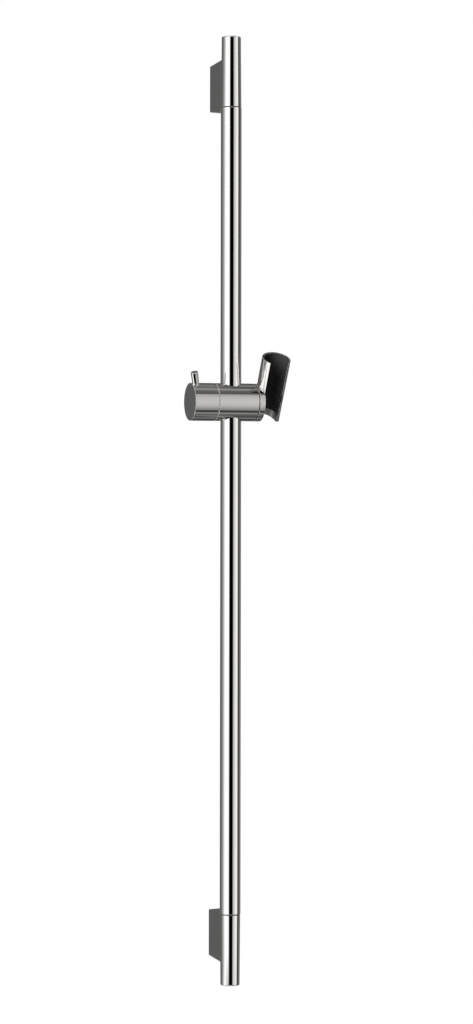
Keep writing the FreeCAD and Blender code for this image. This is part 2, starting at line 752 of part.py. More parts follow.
def clamp_spindle():
    groove_left = clip_left - s.seat_fit / 2
    groove_right = clip_left + s.clip_thickness + s.seat_fit / 2
    groove_floor = spindle_radius - s.clip_depth
    nose = plunger_hole_end - s.spindle_nose_room
    left = spindle_left + s.seat_fit
    body = turned("clamp_spindle", [
        (left, 0),
        (left, spindle_head_radius),
        (knob_floor, spindle_head_radius),
        (knob_floor, spindle_radius),
        (groove_left, spindle_radius),
        (groove_left, groove_floor),
        (groove_right, groove_floor),
        (groove_right, spindle_radius),
        (nose, spindle_radius),
        (nose, 0),
    ], "X")
    return seat(body, SLIDER)


def thrust_washer():
    ring = washer("thrust_washer", "YZ_Plane", neck_radius - s.washer_inset, spindle_radius + s.running_fit,
                  knob_floor + s.running_fit, s.washer_thickness)
    return seat(ring, SLIDER)


def spindle_clip():
    radius = spindle_radius + s.clip_rim
    bore = spindle_radius - s.clip_depth + s.seat_fit
    ring = washer("spindle_clip", "YZ_Plane", radius, bore, clip_left, s.clip_thickness)
    half = s.clip_gap / 2
    corners = [(-half, -radius - half), (half, -radius - half), (half, -half), (-half, -half)]
    pocket(ring, outline(ring, "YZ_Plane", corners, offset=clip_left), s.clip_thickness, reverse=True)
    return seat(ring, SLIDER)


def clamp_plunger():
    hole = spindle_radius + s.running_fit
    body = turned("clamp_plunger", [
        (plunger_left, hole),
        (plunger_left, plunger_radius),
        (plunger_right, plunger_radius),
        (plunger_right, 0),
        (plunger_hole_end, 0),
        (plunger_hole_end, hole),
    ], "X")
    return seat(body, SLIDER)


def brake_pad():
    radius = plunger_radius - s.pad_inset
    right = s.pad_horn - pad_face
    corners = [(plunger_right, 0), (plunger_right, radius), (right, radius), (right, 0)]
    body = turned("brake_pad", corners, "X")
    pocket(body, rounds(body, "XY_Plane", [(0, 0, pad_face)]), symmetric=True)
    return seat(body, SLIDER)


# Holder

def slot_cut(body):
    """Slot for the hose, open to the front over the whole height of the sleeve."""
    half = s.cup_slot / 2
    corners = [(-half, -s.cup_rim_diameter), (half, -s.cup_rim_diameter), (half, 0), (-half, 0)]
    pocket(body, outline(body, "XY_Plane", corners), symmetric=True)


def holder_cup():
    """Hub and conical sleeve in one casting, bored for the liner, slotted and rounded off below."""
    tail = -s.cup_tail_radius - s.cup_wall
    body = turned("holder_cup", [
        (0, tail),
        (sleeve_outside(tail), tail),
        (rim_radius, s.cup_rim_height - s.rim_bevel),
        (rim_radius - s.rim_bevel, s.cup_rim_height),
        (0, s.cup_rim_height),
    ], "Z")
    past = 2 * s.cup_tail_radius
    outside = [
        (-past, s.cup_tail_radius),
        (past, s.cup_tail_radius),
        (past, past),
        (-past, past),
    ]
    tail_round = outline(body, "XY_Plane", outside)
    tail_round.setExpression("AttachmentOffset.Base.y", s.cup_tail_setback.text)
    groove(body, tail_round, "H_Axis", angle=HALF_TURN, reverse=True)
    edge = s.slider_edge
    hub = [
        (hub_near, 0),
        (hub_near, slider_radius - edge),
        (hub_near + edge, slider_radius),
        (hub_far - edge, slider_radius),
        (hub_far, slider_radius - edge),
        (hub_far, 0),
    ]
    revolve(body, outline(body, "XZ_Plane", hub), "H_Axis")
    step = sleeve_inside(liner_step)
    throat = step - s.liner_wall
    top = s.cup_rim_height + s.rim_bevel
    bore = [
        (0, 2 * tail),
        (throat, 2 * tail),
        (throat, liner_step),
        (step, liner_step),
        (sleeve_inside(top), top),
        (0, top),
    ]
    groove(body, outline(body, "XZ_Plane", bore), "V_Axis")
    slot_cut(body)
    head_radius = s.bolt_head_diameter / 2 + s.seat_fit
    shank_radius = bolt_radius + s.seat_fit
    bolt_seat = [
        (hub_near - s.seat_fit, 0),
        (hub_near - s.seat_fit, shank_radius),
        (bolt_face - (head_radius - shank_radius), shank_radius),
        (bolt_face, head_radius),
        (-throat / 2, head_radius),
        (-throat / 2, 0),
    ]
    groove(body, outline(body, "XZ_Plane", bolt_seat), "H_Axis")
    return body


def holder_liner():
    low = liner_step + s.seat_fit
    high = s.cup_rim_height - s.liner_sunk
    gap = s.seat_fit
    body = turned("holder_liner", [
        (sleeve_inside(low) - s.liner_wall, low),
        (sleeve_inside(low) - gap, low),
        (sleeve_inside(high) - gap, high),
        (sleeve_inside(high) - s.liner_wall, high),
    ], "Z")
    slot_cut(body)
    return body


def pivot_bolt():
    head_radius = s.bolt_head_diameter / 2
    body = turned("pivot_bolt", [
        (bolt_end - cup_reach, 0),
        (bolt_end - cup_reach, bolt_radius),
        (bolt_face - (head_radius - bolt_radius), bolt_radius),
        (bolt_face, head_radius),
        (bolt_face, 0),
    ], "X")
    return body


def disc_spring(label, left, way):
    """A cupped spring washer; way 1 cups it to the right at its rim and -1 to the left."""
    bore = bolt_radius + s.seat_fit
    rim = s.spring_diameter / 2
    lift = s.spring_cone
    bore_left = left if way > 0 else left + lift
    rim_left = left + lift if way > 0 else left
    body = turned(label, [
        (bore_left, bore),
        (bore_left + s.spring_thickness, bore),
        (rim_left + s.spring_thickness, rim),
        (rim_left, rim),
    ], "X")
    return body


def lock_nut():
    left = nut_right - s.nut_thickness - cup_reach
    along = [("Y", QUARTER_TURN)]
    blank = hexagon(s.nut_width, s.nut_thickness, (left, 0, 0), along)
    hole = primitive("Part::Cylinder", (left - s.seat_fit, 0, 0), along,
                     Radius=bolt_radius + s.seat_fit, Height=s.nut_thickness + 2 * s.seat_fit)
    return boolean("Part::Cut", blank, hole, "lock_nut")


def holder_set():
    spring_left = nut_right + s.seat_fit - cup_reach
    spring_pitch = s.spring_thickness + s.spring_cone
    pieces = [
        holder_cup(),
        holder_liner(),
        pivot_bolt(),
        disc_spring("inner_disc_spring", spring_left, 1),
        disc_spring("outer_disc_spring", spring_left + spring_pitch + s.seat_fit, -1),
        lock_nut(),
    ]
    for piece in pieces:
        seat(piece, (cup_reach, SLIDER[1], SLIDER[2]), [("X", s.cup_tilt)])
    return pieces


def all_pieces():
    pieces = [rail_tube()]
    pieces += bracket_set("upper", 1, 0)
    pieces += bracket_set("lower", -1, HALF_TURN)
    pieces += [slider_shell(), guide_core(), clamp_sleeve(), knob_seal(), glide_ring()]
    pieces += [friction_ring(), pivot_plate(), plate_grub_screw()]
    pieces += [clamp_knob(), lever_pin(), clamp_spindle(), thrust_washer(), spindle_clip()]
    pieces += [clamp_plunger(), brake_pad()]
    pieces += holder_set()
    return pieces


def check(pieces):
    """Stop before anything is written when a feature failed or a piece is not a sound solid."""
    for item in doc.Objects:
        if "Invalid" in item.State or "Error" in item.State:
            raise RuntimeError(f"{item.Label} failed: {item.State}")
    for piece in pieces:
        shape = piece.Shape
        if shape.isNull() or not shape.isValid() or len(shape.Solids) != 1:
            raise RuntimeError(f"{piece.Label} is not one sound solid")


def main():
    pieces = all_pieces()
    doc.recompute()
    check(pieces)
    os.makedirs("parts", exist_ok=True)
    for piece in pieces:
        piece.Shape.exportStep(f"parts/{piece.Label}.step")


main()
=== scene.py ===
import json
import math

import bmesh
import bpy
from mathutils import Matrix, Quaternion, Vector


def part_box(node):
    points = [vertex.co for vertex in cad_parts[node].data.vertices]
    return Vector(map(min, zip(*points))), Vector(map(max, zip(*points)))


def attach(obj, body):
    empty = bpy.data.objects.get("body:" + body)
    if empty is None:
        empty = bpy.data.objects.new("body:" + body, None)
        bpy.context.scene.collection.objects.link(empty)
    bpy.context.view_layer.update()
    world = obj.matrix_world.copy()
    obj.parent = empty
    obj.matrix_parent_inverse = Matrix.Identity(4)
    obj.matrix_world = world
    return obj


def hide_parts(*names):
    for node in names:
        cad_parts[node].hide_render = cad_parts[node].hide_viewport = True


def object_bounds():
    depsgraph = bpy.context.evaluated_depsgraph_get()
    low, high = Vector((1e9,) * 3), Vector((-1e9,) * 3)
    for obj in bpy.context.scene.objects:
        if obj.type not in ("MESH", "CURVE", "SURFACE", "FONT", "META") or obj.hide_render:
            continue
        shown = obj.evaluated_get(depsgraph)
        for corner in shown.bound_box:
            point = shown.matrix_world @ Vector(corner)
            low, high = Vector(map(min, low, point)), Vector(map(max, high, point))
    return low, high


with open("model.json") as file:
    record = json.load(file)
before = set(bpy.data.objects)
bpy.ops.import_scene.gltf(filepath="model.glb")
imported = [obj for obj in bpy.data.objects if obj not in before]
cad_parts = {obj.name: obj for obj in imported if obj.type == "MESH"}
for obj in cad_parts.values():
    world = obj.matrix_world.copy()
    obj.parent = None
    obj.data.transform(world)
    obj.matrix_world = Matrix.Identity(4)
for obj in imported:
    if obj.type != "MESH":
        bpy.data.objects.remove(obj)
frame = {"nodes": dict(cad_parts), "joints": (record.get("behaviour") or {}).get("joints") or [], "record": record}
cad_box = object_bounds()

# Sizes in metres. Places come from the frame; forms that no box shows are named here.
MM = 0.001
TURN = 2 * math.pi

TUBE_WALL = 1.0 * MM
TUBE_EDGE = 0.25 * MM

BARREL_LENGTH = 75.4 * MM
BARREL_JOINT_RADIUS = 10.7 * MM
BARREL_END_RADIUS = 10.15 * MM
BARREL_CROWN_RADIUS = 45.0 * MM
BARREL_ROUND = 1.0 * MM
SPIGOT_LENGTH = 18.0 * MM
SPIGOT_RADIUS = 9.95 * MM
SEAL_GROOVE = (8.0 * MM, 10.4 * MM, 8.55 * MM)
FOOT_HALF = 10.2 * MM
FOOT_HALF_HEIGHT = 24.7 * MM
FOOT_INNER_FLARE = math.radians(7.5)
FOOT_OUTER_FLARE = math.radians(4.5)
FOOT_ROUND = 1.2 * MM
SADDLE_FRONT = 4.5 * MM
SADDLE_GAP = 0.1 * MM
CAVITY_SIDE_WALL = 2.4 * MM
CAVITY_END_WALL = 3.2 * MM
CAVITY_DEPTH = 25.0 * MM
BRACKET_GRUB_SETBACK = 11.0 * MM
BRACKET_GRUB_HOLE = 2.55 * MM
BRACKET_GRUB_KEY = 2.5 * MM
BRACKET_GRUB_PITCH = 0.8 * MM
JOINT_EDGE = 0.2 * MM
JOINT_RING_BORE = 10.0 * MM
SEAM_RING_EDGE = 0.12 * MM

SLIDER_EDGE = 0.45 * MM
SHELL_BORE = 16.5 * MM
SHELL_END_WALL = 3.8 * MM
MOUTH_RADIUS = 11.45 * MM
NECK_RADIUS = 12.0 * MM
NECK_END_WALL = 3.0 * MM
NECK_SEAL_GROOVE = (6.0 * MM, 8.0 * MM, 11.0 * MM)
SPINDLE_HOLE = 4.1 * MM
PLUNGER_BORE = 8.1 * MM
PLATE_GRUB_HOLE = 1.55 * MM
PLATE_GRUB_KEY = 1.5 * MM
PLATE_GRUB_PITCH = 0.5 * MM
GLIDE_RING_BORE = 12.1 * MM
FRICTION_RING_BORE = 8.0 * MM

KNOB_FLOOR_ROOM = 1.2 * MM
KNOB_RIM_WALL = 3.0 * MM
KNOB_HUB_WALL = 2.2 * MM
KNOB_CORE_DEPTH = 12.0 * MM
KNOB_SOCKET = 5.05 * MM
KNOB_END_WALL = 2.6 * MM
RUNNING_FIT = 0.1 * MM
SEAT_FIT = 0.05 * MM

LEVER_LEAN = math.radians(21.0)
LEVER_SPLAY = math.radians(13.5)
LEVER_BASE_SETBACK = 4.1 * MM
LEVER_BASE_RADIUS = 3.55 * MM
LEVER_TIP_RADIUS = 4.0 * MM
LEVER_LENGTH = 13.5 * MM
LEVER_EDGE = 0.5 * MM
LEVER_SUNK = 2.6 * MM
LEVER_STUD_RADIUS = 2.0 * MM
LEVER_STUD_END = 6.0 * MM
LEVER_PITCH = 0.7 * MM

SPINDLE_RADIUS = 4.0 * MM
SPINDLE_HEAD_RADIUS = 5.0 * MM
SPINDLE_PITCH = 1.5 * MM
CLIP_GROOVE_DEPTH = 0.8 * MM
CLIP_ROOM = 0.025 * MM
BOLT_RADIUS = 3.0 * MM
BOLT_HEAD_RADIUS = 5.0 * MM
BOLT_PITCH = 1.0 * MM
BOLT_PLAIN = 1.0 * MM
BOLT_HOLE = 3.05 * MM

CUP_TILT = math.radians(29.5)
CUP_RIM_HEIGHT = 52.6 * MM
CUP_RIM_RADIUS = 15.25 * MM
CUP_DRAFT = math.tan(math.radians(0.3))
CUP_WALL = 1.6 * MM
SOCKET_DRAFT = math.tan(math.radians(1.0))
TAIL_RADIUS = 21.3 * MM
TAIL_SETBACK = 2.5 * MM
SLOT_HALF = 9.6 * MM
LINER_WALL = 1.4 * MM
LINER_FIT = 0.05 * MM
LINER_SUNK = 0.5 * MM
LINER_DROP = 12.4 * MM
LIP_ROUND = 0.35 * MM
CUP_LIP_ROUNDS = (0.9 * MM, 0.3 * MM)
RIM_ROUND = 0.15 * MM
STEP_GAP = 0.02 * MM

# How finely round forms are cut.
FINE = 360
PLAIN = 128
ARC_STEPS = 8
CROWN_STEPS = 14
SLEEVE_STEPS = 168
LIP_STEPS = 6
EDGE_STEPS = 5
THREAD_ROWS = 12
THREAD_SEGMENTS = 48
HEXAGON = 6
# A thread's depth as a share of its pitch, and the turning sense of a left-hand thread.
THREAD_DEPTH = 0.6
LEFT_HAND = -1.0
# A straight stretch kept beside each round, and the shares of a side that it and the round may take.
HOLD = 0.1 * MM
HOLD_SHARE = 0.05
ROUND_SHARE = 0.45
# Edges that turn by more than this are shaded sharp; the casting's flats need the lower limit.
SHARP = math.radians(24)
CREASE = math.radians(7)
# Points closer than this are one.
WELD = 1e-7


def joint(name):
    """A joint's entry in the frame."""
    return next(item for item in frame["joints"] if item["name"] == name)


def middle_of(node):
    """Middle of a node's box."""
    low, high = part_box(node)
    return (low + high) / 2


def shell_radius():
    """Outer radius of the slider."""
    low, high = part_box("slider_shell")
    return (high.z - low.z) / 2


# Node trees

def add(tree, kind, links=None, **settings):
    """A node with its settings; links gives each input a source socket or a plain value."""
    node = tree.nodes.new(kind)
    for name, value in settings.items():
        setattr(node, name, value)
    for socket, source in (links or {}).items():
        if isinstance(source, bpy.types.NodeSocket):
            tree.links.new(source, node.inputs[socket])
        else:
            node.inputs[socket].default_value = source
    return node


def calc(tree, operation, *values):
    """Result of a Math node."""
    return add(tree, "ShaderNodeMath", dict(enumerate(values)), operation=operation).outputs[0]


def new_group(name, kind, inputs, outputs):
    """An empty group with named sockets, and its input and output nodes."""
    tree = bpy.data.node_groups.new(name, kind)
    for direction, sockets in (("INPUT", inputs), ("OUTPUT", outputs)):
        for label, socket_type in sockets.items():
            tree.interface.new_socket(label, in_out=direction, socket_type=socket_type)
    return tree, tree.nodes.new("NodeGroupInput"), tree.nodes.new("NodeGroupOutput")


def map_range(tree, value, begin, full, low=0.0, high=1.0, shape="LINEAR"):
    """A value taken from the range begin to full into the range low to high, and held there."""
    links = {"Value": value, "From Min": begin, "From Max": full, "To Min": low, "To Max": high}
    return add(tree, "ShaderNodeMapRange", links, interpolation_type=shape).outputs[0]


def mix(tree, share, low, high):
    """A value between two others."""
    return add(tree, "ShaderNodeMix", {"Factor": share, "A": low, "B": high}).outputs[0]


GEOMETRY = "NodeSocketGeometry"
WHOLE = "NodeSocketInt"
NUMBER = "NodeSocketFloat"
FINISH = "NodeSocketMaterial"
THREAD_INPUTS = ("Thread Start", "Thread End", "Thread Depth", "Thread Pitch", "Thread Hand")


def turned_form():
    """Turns a profile of (station, radius) points about X and cuts a thread between two stations."""
    inputs = {"Profile": GEOMETRY, "Segments": WHOLE, "Finish": FINISH}
    inputs.update({name: NUMBER for name in THREAD_INPUTS})
    tree, given, result = new_group("turned_form", "GeometryNodeTree", inputs, {"Piece": GEOMETRY})
    size = add(tree, "GeometryNodeAttributeDomainSize", {0: given.outputs["Profile"]}, component="MESH")
    stations = size.outputs["Point Count"]
    columns = calc(tree, "ADD", given.outputs["Segments"], 1.0)
    grid = add(tree, "GeometryNodeMeshGrid", {"Vertices X": columns, "Vertices Y": stations})
    index = add(tree, "GeometryNodeInputIndex").outputs[0]
    station = calc(tree, "MODULO", index, stations)
    column = calc(tree, "FLOOR", calc(tree, "DIVIDE", index, stations))
    angle = calc(tree, "MULTIPLY", calc(tree, "DIVIDE", column, given.outputs["Segments"]), TURN)
    place = add(tree, "GeometryNodeInputPosition").outputs[0]
    sample = add(tree, "GeometryNodeSampleIndex", data_type="FLOAT_VECTOR", domain="POINT")
    tree.links.new(given.outputs["Profile"], sample.inputs["Geometry"])
    tree.links.new(place, sample.inputs["Value"])
    tree.links.new(station, sample.inputs["Index"])
    point = add(tree, "ShaderNodeSeparateXYZ", {0: sample.outputs["Value"]})
    along = point.outputs["X"]
    start, end, depth, pitch, hand = [given.outputs[name] for name in THREAD_INPUTS]
    wound = calc(tree, "MULTIPLY", calc(tree, "DIVIDE", angle, TURN), hand)
    flank = calc(tree, "PINGPONG", calc(tree, "SUBTRACT", calc(tree, "DIVIDE", along, pitch), wound), 0.5)
    begun = map_range(tree, along, start, calc(tree, "ADD", start, pitch))
    ended = map_range(tree, along, end, calc(tree, "SUBTRACT", end, pitch))
    cut = calc(tree, "MULTIPLY", calc(tree, "MULTIPLY", depth, 2.0), flank)
    cut = calc(tree, "MULTIPLY", cut, calc(tree, "MULTIPLY", begun, ended))
    radius = calc(tree, "SUBTRACT", point.outputs["Y"], cut)
    across = calc(tree, "MULTIPLY", radius, calc(tree, "COSINE", angle))
    up = calc(tree, "MULTIPLY", radius, calc(tree, "SINE", angle))
    spot = add(tree, "ShaderNodeCombineXYZ", {0: along, 1: across, 2: up})
    wrapped = add(tree, "GeometryNodeSetPosition", {
        "Geometry": grid.outputs["Mesh"], "Position": spot.outputs[0]})
    welded = add(tree, "GeometryNodeMergeByDistance", {"Geometry": wrapped.outputs[0], "Distance": WELD})
    real = add(tree, "GeometryNodeRealizeInstances", {0: welded.outputs[0]})
    dressed = add(tree, "GeometryNodeSetMaterial", {
        "Geometry": real.outputs[0], "Material": given.outputs["Finish"]})
    tree.links.new(dressed.outputs[0], result.inputs["Piece"])
    return tree


def grown(mesh, tree, values):
    """The plain mesh that a tree makes from a start mesh and its named inputs."""
    holder = bpy.data.objects.new("start", mesh)
    bpy.context.scene.collection.objects.link(holder)
    modifier = holder.modifiers.new(tree.name, "NODES")
    modifier.node_group = tree
    for item in tree.interface.items_tree:
        if item.in_out == "INPUT" and item.name in values:
            modifier[item.identifier] = values[item.name]
    made = plain_mesh(holder)
    holder.modifiers.clear()
    bpy.data.objects.remove(holder)
    return made


def plain_mesh(holder):
    """An object's mesh with its modifiers worked out."""
    graph = bpy.context.evaluated_depsgraph_get()
    return bpy.data.meshes.new_from_object(holder.evaluated_get(graph))


# Shaping

def smoothed(mesh, angle=SHARP):
    """Weld, face outwards and shade smooth apart from the edges that turn sharply."""
    work = bmesh.new()
    work.from_mesh(mesh)
    bmesh.ops.remove_doubles(work, verts=work.verts, dist=WELD)
    bmesh.ops.dissolve_degenerate(work, dist=WELD, edges=work.edges)
    bmesh.ops.recalc_face_normals(work, faces=work.faces)
    work.to_mesh(mesh)
    work.free()
    mesh.polygons.foreach_set("use_smooth", [True] * len(mesh.polygons))
    mesh.set_sharp_from_angle(angle=angle)
    return mesh


def softened(corners, radius, closed=True):
    """A profile whose corners are rounded by the radius for all or, as a third value, for one corner.

    A point just past each round keeps the shading of the straight stretch beside it true.
    """
    points = []
    count = len(corners)
    for i, corner in enumerate(corners):
        here = Vector(corner[:2])
        size = corner[2] if len(corner) > 2 else radius
        if size == 0 or (not closed and i in (0, count - 1)):
            points.append(here)
            continue
        to_last = Vector(corners[i - 1][:2]) - here
        to_next = Vector(corners[(i + 1) % count][:2]) - here
        half = to_last.angle(to_next) / 2
        shorter = min(to_last.length, to_next.length)
        back = min(size / math.tan(half), ROUND_SHARE * shorter)
        hold = min(HOLD, HOLD_SHARE * shorter)
        to_last.normalize()
        to_next.normalize()
        start = here + to_last * back
        end = here + to_next * back
        bulge = here + (to_last + to_next).normalized() * back / math.cos(half)
        reach = (start - bulge).length
        first, last = (start - bulge).normalized(), (end - bulge).normalized()
        points.append(start + to_last * hold)
        for step in range(ARC_STEPS + 1):
            points.append(bulge + first.slerp(last, step / ARC_STEPS) * reach)
        points.append(end + to_next * hold)
    return points


def turned(corners, radius=0.0, segments=FINE, closed=True, thread=None, finish=None):
    """A turned mesh about X from corners of (station, radius), with a thread's values by name."""
    points = softened(corners, radius, closed)
    if closed:
        points.append(points[0])
    profile = bpy.data.meshes.new("profile")
    edges = [(i, i + 1) for i in range(len(points) - 1)]
    profile.from_pydata([(point.x, point.y, 0.0) for point in points], edges, [])
    return grown(profile, TURNED, {"Segments": segments, "Finish": finish, **(thread or {})})


def thread_rows(start, end, radius, pitch, hand=1.0):
    """Profile points of a threaded stretch, and the thread's values for turned()."""
    count = round((end - start) / pitch * THREAD_ROWS)
    rows = [(start + (end - start) * step / count, radius, 0.0) for step in range(count + 1)]
    return rows, dict(zip(THREAD_INPUTS, (start, end, THREAD_DEPTH * pitch, pitch, hand)))


def ring(left, right, inside, outside, radius, finish):
    """A ring about X with rounded edges."""
    corners = [(left, inside), (left, outside), (right, outside), (right, inside)]
    return turned(corners, radius, finish=finish)


def rod(low, high, radius, segments=PLAIN):
    """A plain cutter along X."""
    corners = [(low, 0.0), (low, radius), (high, radius), (high, 0.0)]
    return turned(corners, segments=segments, closed=False)


def block(low, high):
    """A plain cutter between two corners."""
    work = bmesh.new()
    bmesh.ops.create_cube(work, size=1.0)
    for vertex in work.verts:
        vertex.co = [low[i] if vertex.co[i] < 0 else high[i] for i in range(3)]
    mesh = bpy.data.meshes.new("block")
    work.to_mesh(mesh)
    work.free()
    return mesh


def combined(mesh, tool, operation):
    """One solid cut by, joined to or kept inside another."""
    holders = [bpy.data.objects.new("solid", smoothed(part)) for part in (mesh, tool)]
    for holder in holders:
        bpy.context.scene.collection.objects.link(holder)
    modifier = holders[0].modifiers.new("form", "BOOLEAN")
    modifier.object = holders[1]
    modifier.operation = operation
    modifier.solver = "EXACT"
    made = plain_mesh(holders[0])
    for holder in holders:
        bpy.data.objects.remove(holder)
    return made


# Turns from X to Z and from X to Y.
TO_Z = Matrix.Rotation(-TURN / 4, 4, "Y")
TO_Y = Matrix.Rotation(TURN / 4, 4, "Z")


def moved(mesh, *steps):
    """A mesh put in place by matrices, the last one first."""
    place = Matrix.Identity(4)
    for step in steps:
        place = place @ step
    mesh.transform(place)
    return mesh


def at(x, y, z):
    """A shift as a matrix."""
    return Matrix.Translation((x, y, z))


def dress(node, mesh, slot, angle=SHARP, finish=None):
    """Show a finished mesh in place of a node, on the node's own body, in its slot's finish or another."""
    smoothed(mesh, angle)
    mesh.materials.clear()
    mesh.materials.append(finish or FINISHES[slot])
    mesh.polygons.foreach_set("material_index", [0] * len(mesh.polygons))
    piece = bpy.data.objects.new(f"{node}_finished", mesh)
    bpy.context.scene.collection.objects.link(piece)
    body = next(name for name, members in frame["record"]["behaviour"]["bodies"].items() if node in members)
    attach(piece, body)
    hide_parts(node)


# Finishes

# Where most of a noise lies, and the detail of the three noises.
NOISE_SPREAD = (0.3, 0.7)
HAZE_DETAIL = 3.0
GRAIN_DETAIL = 4.0
DRIFT_DETAIL = 2.0
# How much coarser the drift is than the grain.
GRAIN_DRIFT = 30.0
# Roughness that a raw face has more than a polished one.
RAW_ROUGHNESS = 0.38
CHROME = (0.875, 0.862, 0.85)
CHROME_HAZE = (60.0, 0.025, 0.045)
# Base colour of the throat below the liner: a dull raw face, made darker still as painted shade in the hollow.
RAW_AND_SHADED_CHROME = (0.30, 0.30, 0.29)


def polish_haze():
    """Faint unevenness of a polished face."""
    inputs = {"Scale": NUMBER, "Clear": NUMBER, "Hazy": NUMBER}
    tree, given, result = new_group("polish_haze", "ShaderNodeTree", inputs, {"Roughness": NUMBER})
    spot = add(tree, "ShaderNodeTexCoord").outputs["Object"]
    cloud = add(tree, "ShaderNodeTexNoise", {
        "Vector": spot, "Scale": given.outputs["Scale"], "Detail": HAZE_DETAIL})
    level = map_range(tree, cloud.outputs[0], *NOISE_SPREAD, given.outputs["Clear"], given.outputs["Hazy"])
    tree.links.new(level, result.inputs["Roughness"])
    return tree


def moulded_grain():
    """Fine grain of a moulded or cast skin, with a slow drift of its tone."""
    inputs = {"Scale": NUMBER, "Smooth": NUMBER, "Rough": NUMBER}
    outputs = {"Height": NUMBER, "Roughness": NUMBER, "Tone": NUMBER}
    tree, given, result = new_group("moulded_grain", "ShaderNodeTree", inputs, outputs)
    spot = add(tree, "ShaderNodeTexCoord").outputs["Object"]
    grain = add(tree, "ShaderNodeTexNoise", {
        "Vector": spot, "Scale": given.outputs["Scale"], "Detail": GRAIN_DETAIL})
    slow = calc(tree, "DIVIDE", given.outputs["Scale"], GRAIN_DRIFT)
    drift = add(tree, "ShaderNodeTexNoise", {"Vector": spot, "Scale": slow, "Detail": DRIFT_DETAIL})
    level = map_range(tree, drift.outputs[0], *NOISE_SPREAD, given.outputs["Smooth"], given.outputs["Rough"])
    tree.links.new(grain.outputs[0], result.inputs["Height"])
    tree.links.new(level, result.inputs["Roughness"])
    tree.links.new(drift.outputs[0], result.inputs["Tone"])
    return tree


def new_finish(name):
    """A new material, its node tree and its shader."""
    finish = bpy.data.materials.new(name)
    finish.use_nodes = True
    tree = finish.node_tree
    return finish, tree, tree.nodes["Principled BSDF"]


def group_node(tree, group, values):
    """A shader group placed with its values."""
    return add(tree, "ShaderNodeGroup", values, node_tree=group)


def polished(name, colour, scale, clear, hazy):
    """A polished metal."""
    finish, tree, shader = new_finish(name)
    shader.inputs["Base Color"].default_value = (*colour, 1.0)
    shader.inputs["Metallic"].default_value = 1.0
    haze = group_node(tree, HAZE, {"Scale": scale, "Clear": clear, "Hazy": hazy})
    tree.links.new(haze.outputs["Roughness"], shader.inputs["Roughness"])
    return finish


def plated(name, colour, raw_and_shade_colour):
    """Polished plate on a casting; where the mark is, rougher as a raw face and darker as painted shade."""
    finish = polished(name, colour, *CHROME_HAZE)
    tree = finish.node_tree
    shader = tree.nodes["Principled BSDF"]
    raw_and_shade_mark = add(tree, "ShaderNodeAttribute", attribute_name="raw_and_shade").outputs["Fac"]
    # Painted shade: the marked throat's base colour is darkened towards the dark raw colour.
    tone = add(tree, "ShaderNodeMix", {"Factor": raw_and_shade_mark}, data_type="RGBA")
    tone.inputs["A"].default_value = (*colour, 1.0)
    tone.inputs["B"].default_value = (*raw_and_shade_colour, 1.0)
    tree.links.new(tone.outputs["Result"], shader.inputs["Base Color"])
    haze = shader.inputs["Roughness"].links[0].from_socket
    tree.links.new(calc(tree, "MULTIPLY_ADD", raw_and_shade_mark, RAW_ROUGHNESS, haze), shader.inputs["Roughness"])
    return finish


def moulded(name, dark, light, scale, smooth, rough, depth, metallic=0.0, gloss=0.5):
    """A moulded, cast or rubber skin between two tones."""
    finish, tree, shader = new_finish(name)
    shader.inputs["Metallic"].default_value = metallic
    shader.inputs["Specular IOR Level"].default_value = gloss
    grain = group_node(tree, GRAIN, {"Scale": scale, "Smooth": smooth, "Rough": rough})
    tone = add(tree, "ShaderNodeMix", {"Factor": grain.outputs["Tone"]}, data_type="RGBA")
    tone.inputs["A"].default_value = (*dark, 1.0)
    tone.inputs["B"].default_value = (*light, 1.0)
    tree.links.new(tone.outputs["Result"], shader.inputs["Base Color"])
    tree.links.new(grain.outputs["Roughness"], shader.inputs["Roughness"])
    bump = add(tree, "ShaderNodeBump", {"Height": grain.outputs["Height"], "Distance": depth})
    tree.links.new(bump.outputs["Normal"], shader.inputs["Normal"])
    return finish


def all_finishes():
    """Every material by its slot; the plated casting is the chrome of a piece with a raw throat, painted darker
    there as shade.
    """
    return {
        "polished_chrome": polished("polished_chrome", CHROME, *CHROME_HAZE),
        # The plated casting's throat is rougher as a raw face and darker as painted shade.
        "plated_casting": plated("plated_casting", CHROME, RAW_AND_SHADED_CHROME),
        "bright_steel": polished("bright_steel", (0.62, 0.61, 0.60), 900.0, 0.18, 0.34),
        "plain_brass": polished("plain_brass", (0.74, 0.58, 0.30), 900.0, 0.20, 0.36),
        "black_plastic": moulded("black_plastic", (0.024, 0.024, 0.024), (0.032, 0.032, 0.032), 4000.0,
                                 0.28, 0.36, 0.01 * MM, gloss=0.05),
        "grey_plastic": moulded("grey_plastic", (0.50, 0.50, 0.49), (0.60, 0.60, 0.59), 3000.0,
                                0.42, 0.55, 0.03 * MM),
        "black_rubber": moulded("black_rubber", (0.020, 0.020, 0.020), (0.036, 0.036, 0.036), 3500.0,
                                0.60, 0.80, 0.04 * MM),
        "zinc_casting": moulded("zinc_casting", (0.44, 0.45, 0.46), (0.58, 0.59, 0.60), 1800.0,
                                0.38, 0.56, 0.06 * MM, metallic=1.0),
    }


# Rail

def rail_tube():
    """The tube, from its box and its wall."""
    low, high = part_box("rail_tube")
    radius = (high.x - low.x) / 2
    axis = middle_of("rail_tube")
    mesh = ring(low.z, high.z, radius - TUBE_WALL, radius, TUBE_EDGE, FINISHES["polished_chrome"])
    dress("rail_tube", moved(mesh, at(axis.x, axis.y, 0.0), TO_Z), "polished_chrome")


